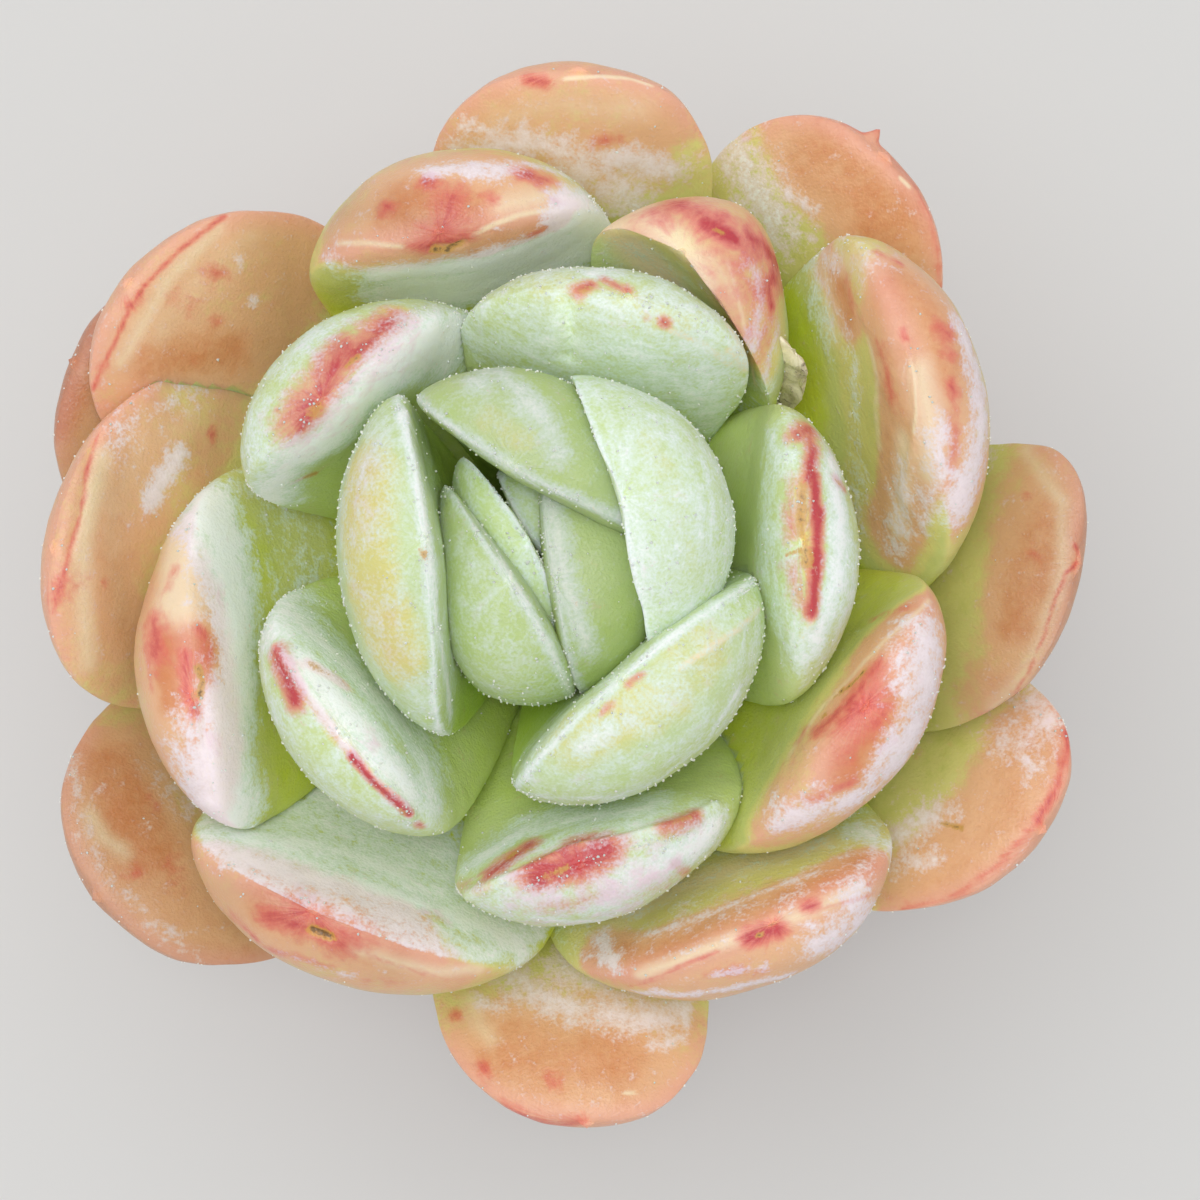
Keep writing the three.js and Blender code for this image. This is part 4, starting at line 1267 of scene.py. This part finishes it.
def rounded(profile, radius, steps=5):
    """A closed outline with each corner turned into a small curve."""
    corners = [np.array(corner, float) for corner in profile]
    outline = []
    for index, corner in enumerate(corners):
        before = corners[index - 1] - corner
        after = corners[(index + 1) % len(corners)] - corner
        reach = min(radius, np.linalg.norm(before) / 2.2, np.linalg.norm(after) / 2.2)
        start = corner + before / np.linalg.norm(before) * reach
        end = corner + after / np.linalg.norm(after) * reach
        for step in range(steps + 1):
            t = step / steps
            outline.append((1 - t) ** 2 * start + 2 * (1 - t) * t * corner + t**2 * end)
    return np.array(outline)


def split_long(outline, longest):
    """The same closed outline, with its long runs split up."""
    points = []
    for start, end in zip(outline, np.roll(outline, -1, axis=0)):
        count = max(1, math.ceil(np.linalg.norm(end - start) / longest))
        points += [start + (end - start) * step / count for step in range(count)]
    return np.array(points)


def add_pot():
    """A plain tapered clay pot with a banded rim and a drainage hole."""
    band_foot = POT_HEIGHT - POT_RIM_BAND
    band_radius = pot_inner_radius(band_foot) + POT_WALL
    profile = [
        (DRAIN_RADIUS, 0),
        (POT_BASE_RADIUS, 0),
        (band_radius, band_foot),
        (band_radius + POT_RIM_STEP, band_foot + POT_EDGE),
        (POT_RIM_RADIUS, POT_HEIGHT),
        (pot_inner_radius(POT_HEIGHT), POT_HEIGHT),
        (pot_inner_radius(POT_FLOOR), POT_FLOOR),
        (DRAIN_RADIUS, POT_FLOOR),
    ]
    outline = split_long(rounded(profile, POT_EDGE), POT_LONGEST_RUN)
    angles = 2 * np.pi * np.arange(POT_SIDES) / POT_SIDES
    rings = np.stack([
        outline[:, None, 0] * np.cos(angles),
        outline[:, None, 0] * np.sin(angles),
        np.broadcast_to(outline[:, None, 1], (len(outline), POT_SIDES)),
    ], -1)
    points = rings.reshape(-1, 3)
    turned = POT_TURNING * np.sin(points[:, 2] * POT_TURNS) * (points[:, 2] > 1)
    away = points * [1, 1, 0] / np.linalg.norm(points[:, :2], axis=1)[:, None]
    points = points + away * (turned + uneven(points, *POT_SWELL, 5))[:, None]
    faces = grid_faces(len(outline), POT_SIDES, wrap=True)
    settle(new_object("pot", points, faces, clay_skin()), "pot")


def soil_height(x, y, share):
    lumps = np.sin(0.55 * x + 1.2) * np.cos(0.62 * y) + 0.6 * np.sin(0.9 * y - 0.7 * x)
    return SOIL_TOP + SOIL_LUMP * lumps * (1 - share * share) + SOIL_CROWN * (1 - share)


def add_soil(rng):
    """Dark potting soil with three kinds of grit on top."""
    foot = POT_FLOOR + GAP
    angles = 2 * np.pi * np.arange(SOIL_SIDES) / SOIL_SIDES
    top_radius = pot_inner_radius(SOIL_TOP) - GAP

    def ring(radius, height):
        return np.stack([radius * np.cos(angles), radius * np.sin(angles), np.full(SOIL_SIDES, height)], -1)

    rings = [
        ring(pot_inner_radius(foot) - POT_EDGE - GAP, foot),
        ring(pot_inner_radius(foot + POT_EDGE) - GAP, foot + POT_EDGE),
    ]
    for index in range(SOIL_RINGS):
        share = 1 - index / SOIL_RINGS
        level = ring(top_radius * share, 0)
        level[:, 2] = soil_height(level[:, 0], level[:, 1], share)
        rough = sum(uneven(level, size, depth, salt) for size, depth, salt in SOIL_CRUMBS)
        level[:, 2] += rough * (SOIL_EDGE_CRUMBS if index == 0 else 1)
        rings.append(level)
    points = np.vstack([[(0, 0, foot)], *rings, [(0, 0, soil_height(0, 0, 0))]])
    faces = capped_faces(len(rings), SOIL_SIDES)
    earth = plain_skin("soil", colour(38, 28, 22), colour(84, 64, 48), 1.1, 0.95, 0.4)
    settle(new_object("soil", points, faces, earth), "soil")

    looks = [
        plain_skin("pumice", colour(176, 170, 156), colour(222, 216, 202), 0.6, 0.9, 0.12),
        plain_skin("baked_loam", colour(132, 88, 52), colour(176, 126, 82), 0.6, 0.92, 0.12),
        plain_skin("lava", colour(52, 42, 40), colour(92, 72, 64), 0.5, 0.9, 0.12),
    ]
    for (name, count, size), look in zip(GRIT, looks):
        sizes = size * rng.uniform(*GRIT_SIZES, count)
        radii = np.sqrt(rng.uniform(GRIT_NEAREST, 1, count)) * (top_radius - GRIT_INSET)
        turns = rng.uniform(0, 2 * np.pi, count)
        x, y = radii * np.cos(turns), radii * np.sin(turns)
        places = np.stack([x, y, soil_height(x, y, radii / top_radius) + GRIT_LIFT * sizes], -1)
        settle(add_grains(name, places, sizes, 2, 0.2, look, rng))


def add_stem():
    """The short stem, ringed with the scars of fallen leaves."""
    low, high = STEM_PROFILE[0][0], STEM_PROFILE[-1][0]
    heights = np.linspace(low, high, STEM_RINGS)
    angles = 2 * np.pi * np.arange(STEM_SIDES) / STEM_SIDES
    radii = stem_radius(heights)
    rings = np.stack([
        STEM_X + radii[:, None] * np.cos(angles),
        STEM_Y + radii[:, None] * np.sin(angles),
        np.broadcast_to(STEM_APEX + heights[:, None], (STEM_RINGS, STEM_SIDES)),
    ], -1)
    points = rings.reshape(-1, 3)
    away = (points - [STEM_X, STEM_Y, 0]) * [1, 1, 0]
    away = away / np.linalg.norm(away, axis=1)[:, None]
    turn = np.arctan2(away[:, 1], away[:, 0])
    scars = STEM_SCARS * np.cos(points[:, 2] * STEM_SCAR_TURNS + 3 * turn)
    points = points + away * (scars + uneven(points, *STEM_SWELL, 6))[:, None]
    ends = [(STEM_X, STEM_Y, STEM_APEX + low), (STEM_X, STEM_Y, STEM_APEX + high)]
    points = np.vstack([ends[:1], points, ends[1:]])
    bark = plain_skin("bark", colour(104, 82, 58), colour(166, 146, 108), 0.9, 0.85, 0.25)
    settle(new_object("stem", points, capped_faces(STEM_RINGS, STEM_SIDES), bark), "stem")


def set_camera():
    data = bpy.data.cameras.new("camera")
    data.angle = 2 * math.atan(PHOTO_SIDE / 2 / PIXEL_FOCAL_LENGTH)
    data.clip_start = CAMERA_NEAREST
    camera = bpy.data.objects.new("camera", data)
    camera.location = Vector((CAMERA_X, CAMERA_Y, FOCUS_HEIGHT + CAMERA_RISE)) * MM
    bpy.context.scene.collection.objects.link(camera)
    bpy.context.scene.camera = camera


def add_lamp(name, place, size, power):
    data = bpy.data.lights.new(name, "AREA")
    data.shape = "DISK"
    data.size = size * MM
    data.energy = power
    lamp = bpy.data.objects.new(name, data)
    lamp.location = Vector(place) * MM
    lamp.rotation_euler = (Vector(LAMP_TARGET) - Vector(place)).to_track_quat("-Z", "Y").to_euler()
    bpy.context.scene.collection.objects.link(lamp)


def light_room():
    world = bpy.data.worlds.new("studio")
    world.use_nodes = True
    world.node_tree.nodes["Background"].inputs["Color"].default_value = SKY_COLOUR
    world.node_tree.nodes["Background"].inputs["Strength"].default_value = SKY_STRENGTH
    bpy.context.scene.world = world
    bpy.context.scene.view_settings.view_transform = "Standard"
    for name, place, size, power in LAMPS:
        add_lamp(name, place, size, power)


def add_floor():
    floor_skin = Surface("floor")
    material = floor_skin.finish(base_color=FLOOR_COLOUR, roughness=FLOOR_ROUGHNESS)
    corners = FLOOR_REACH * np.array([(-1, -1, 0), (1, -1, 0), (1, 1, 0), (-1, 1, 0)])
    new_object("floor", corners, [(0, 1, 2, 3)], material)


chance = np.random.default_rng(SEED)
set_camera()
light_room()
add_floor()
add_pot()
add_soil(chance)
add_stem()
add_wax_grains(add_leaves(), chance)
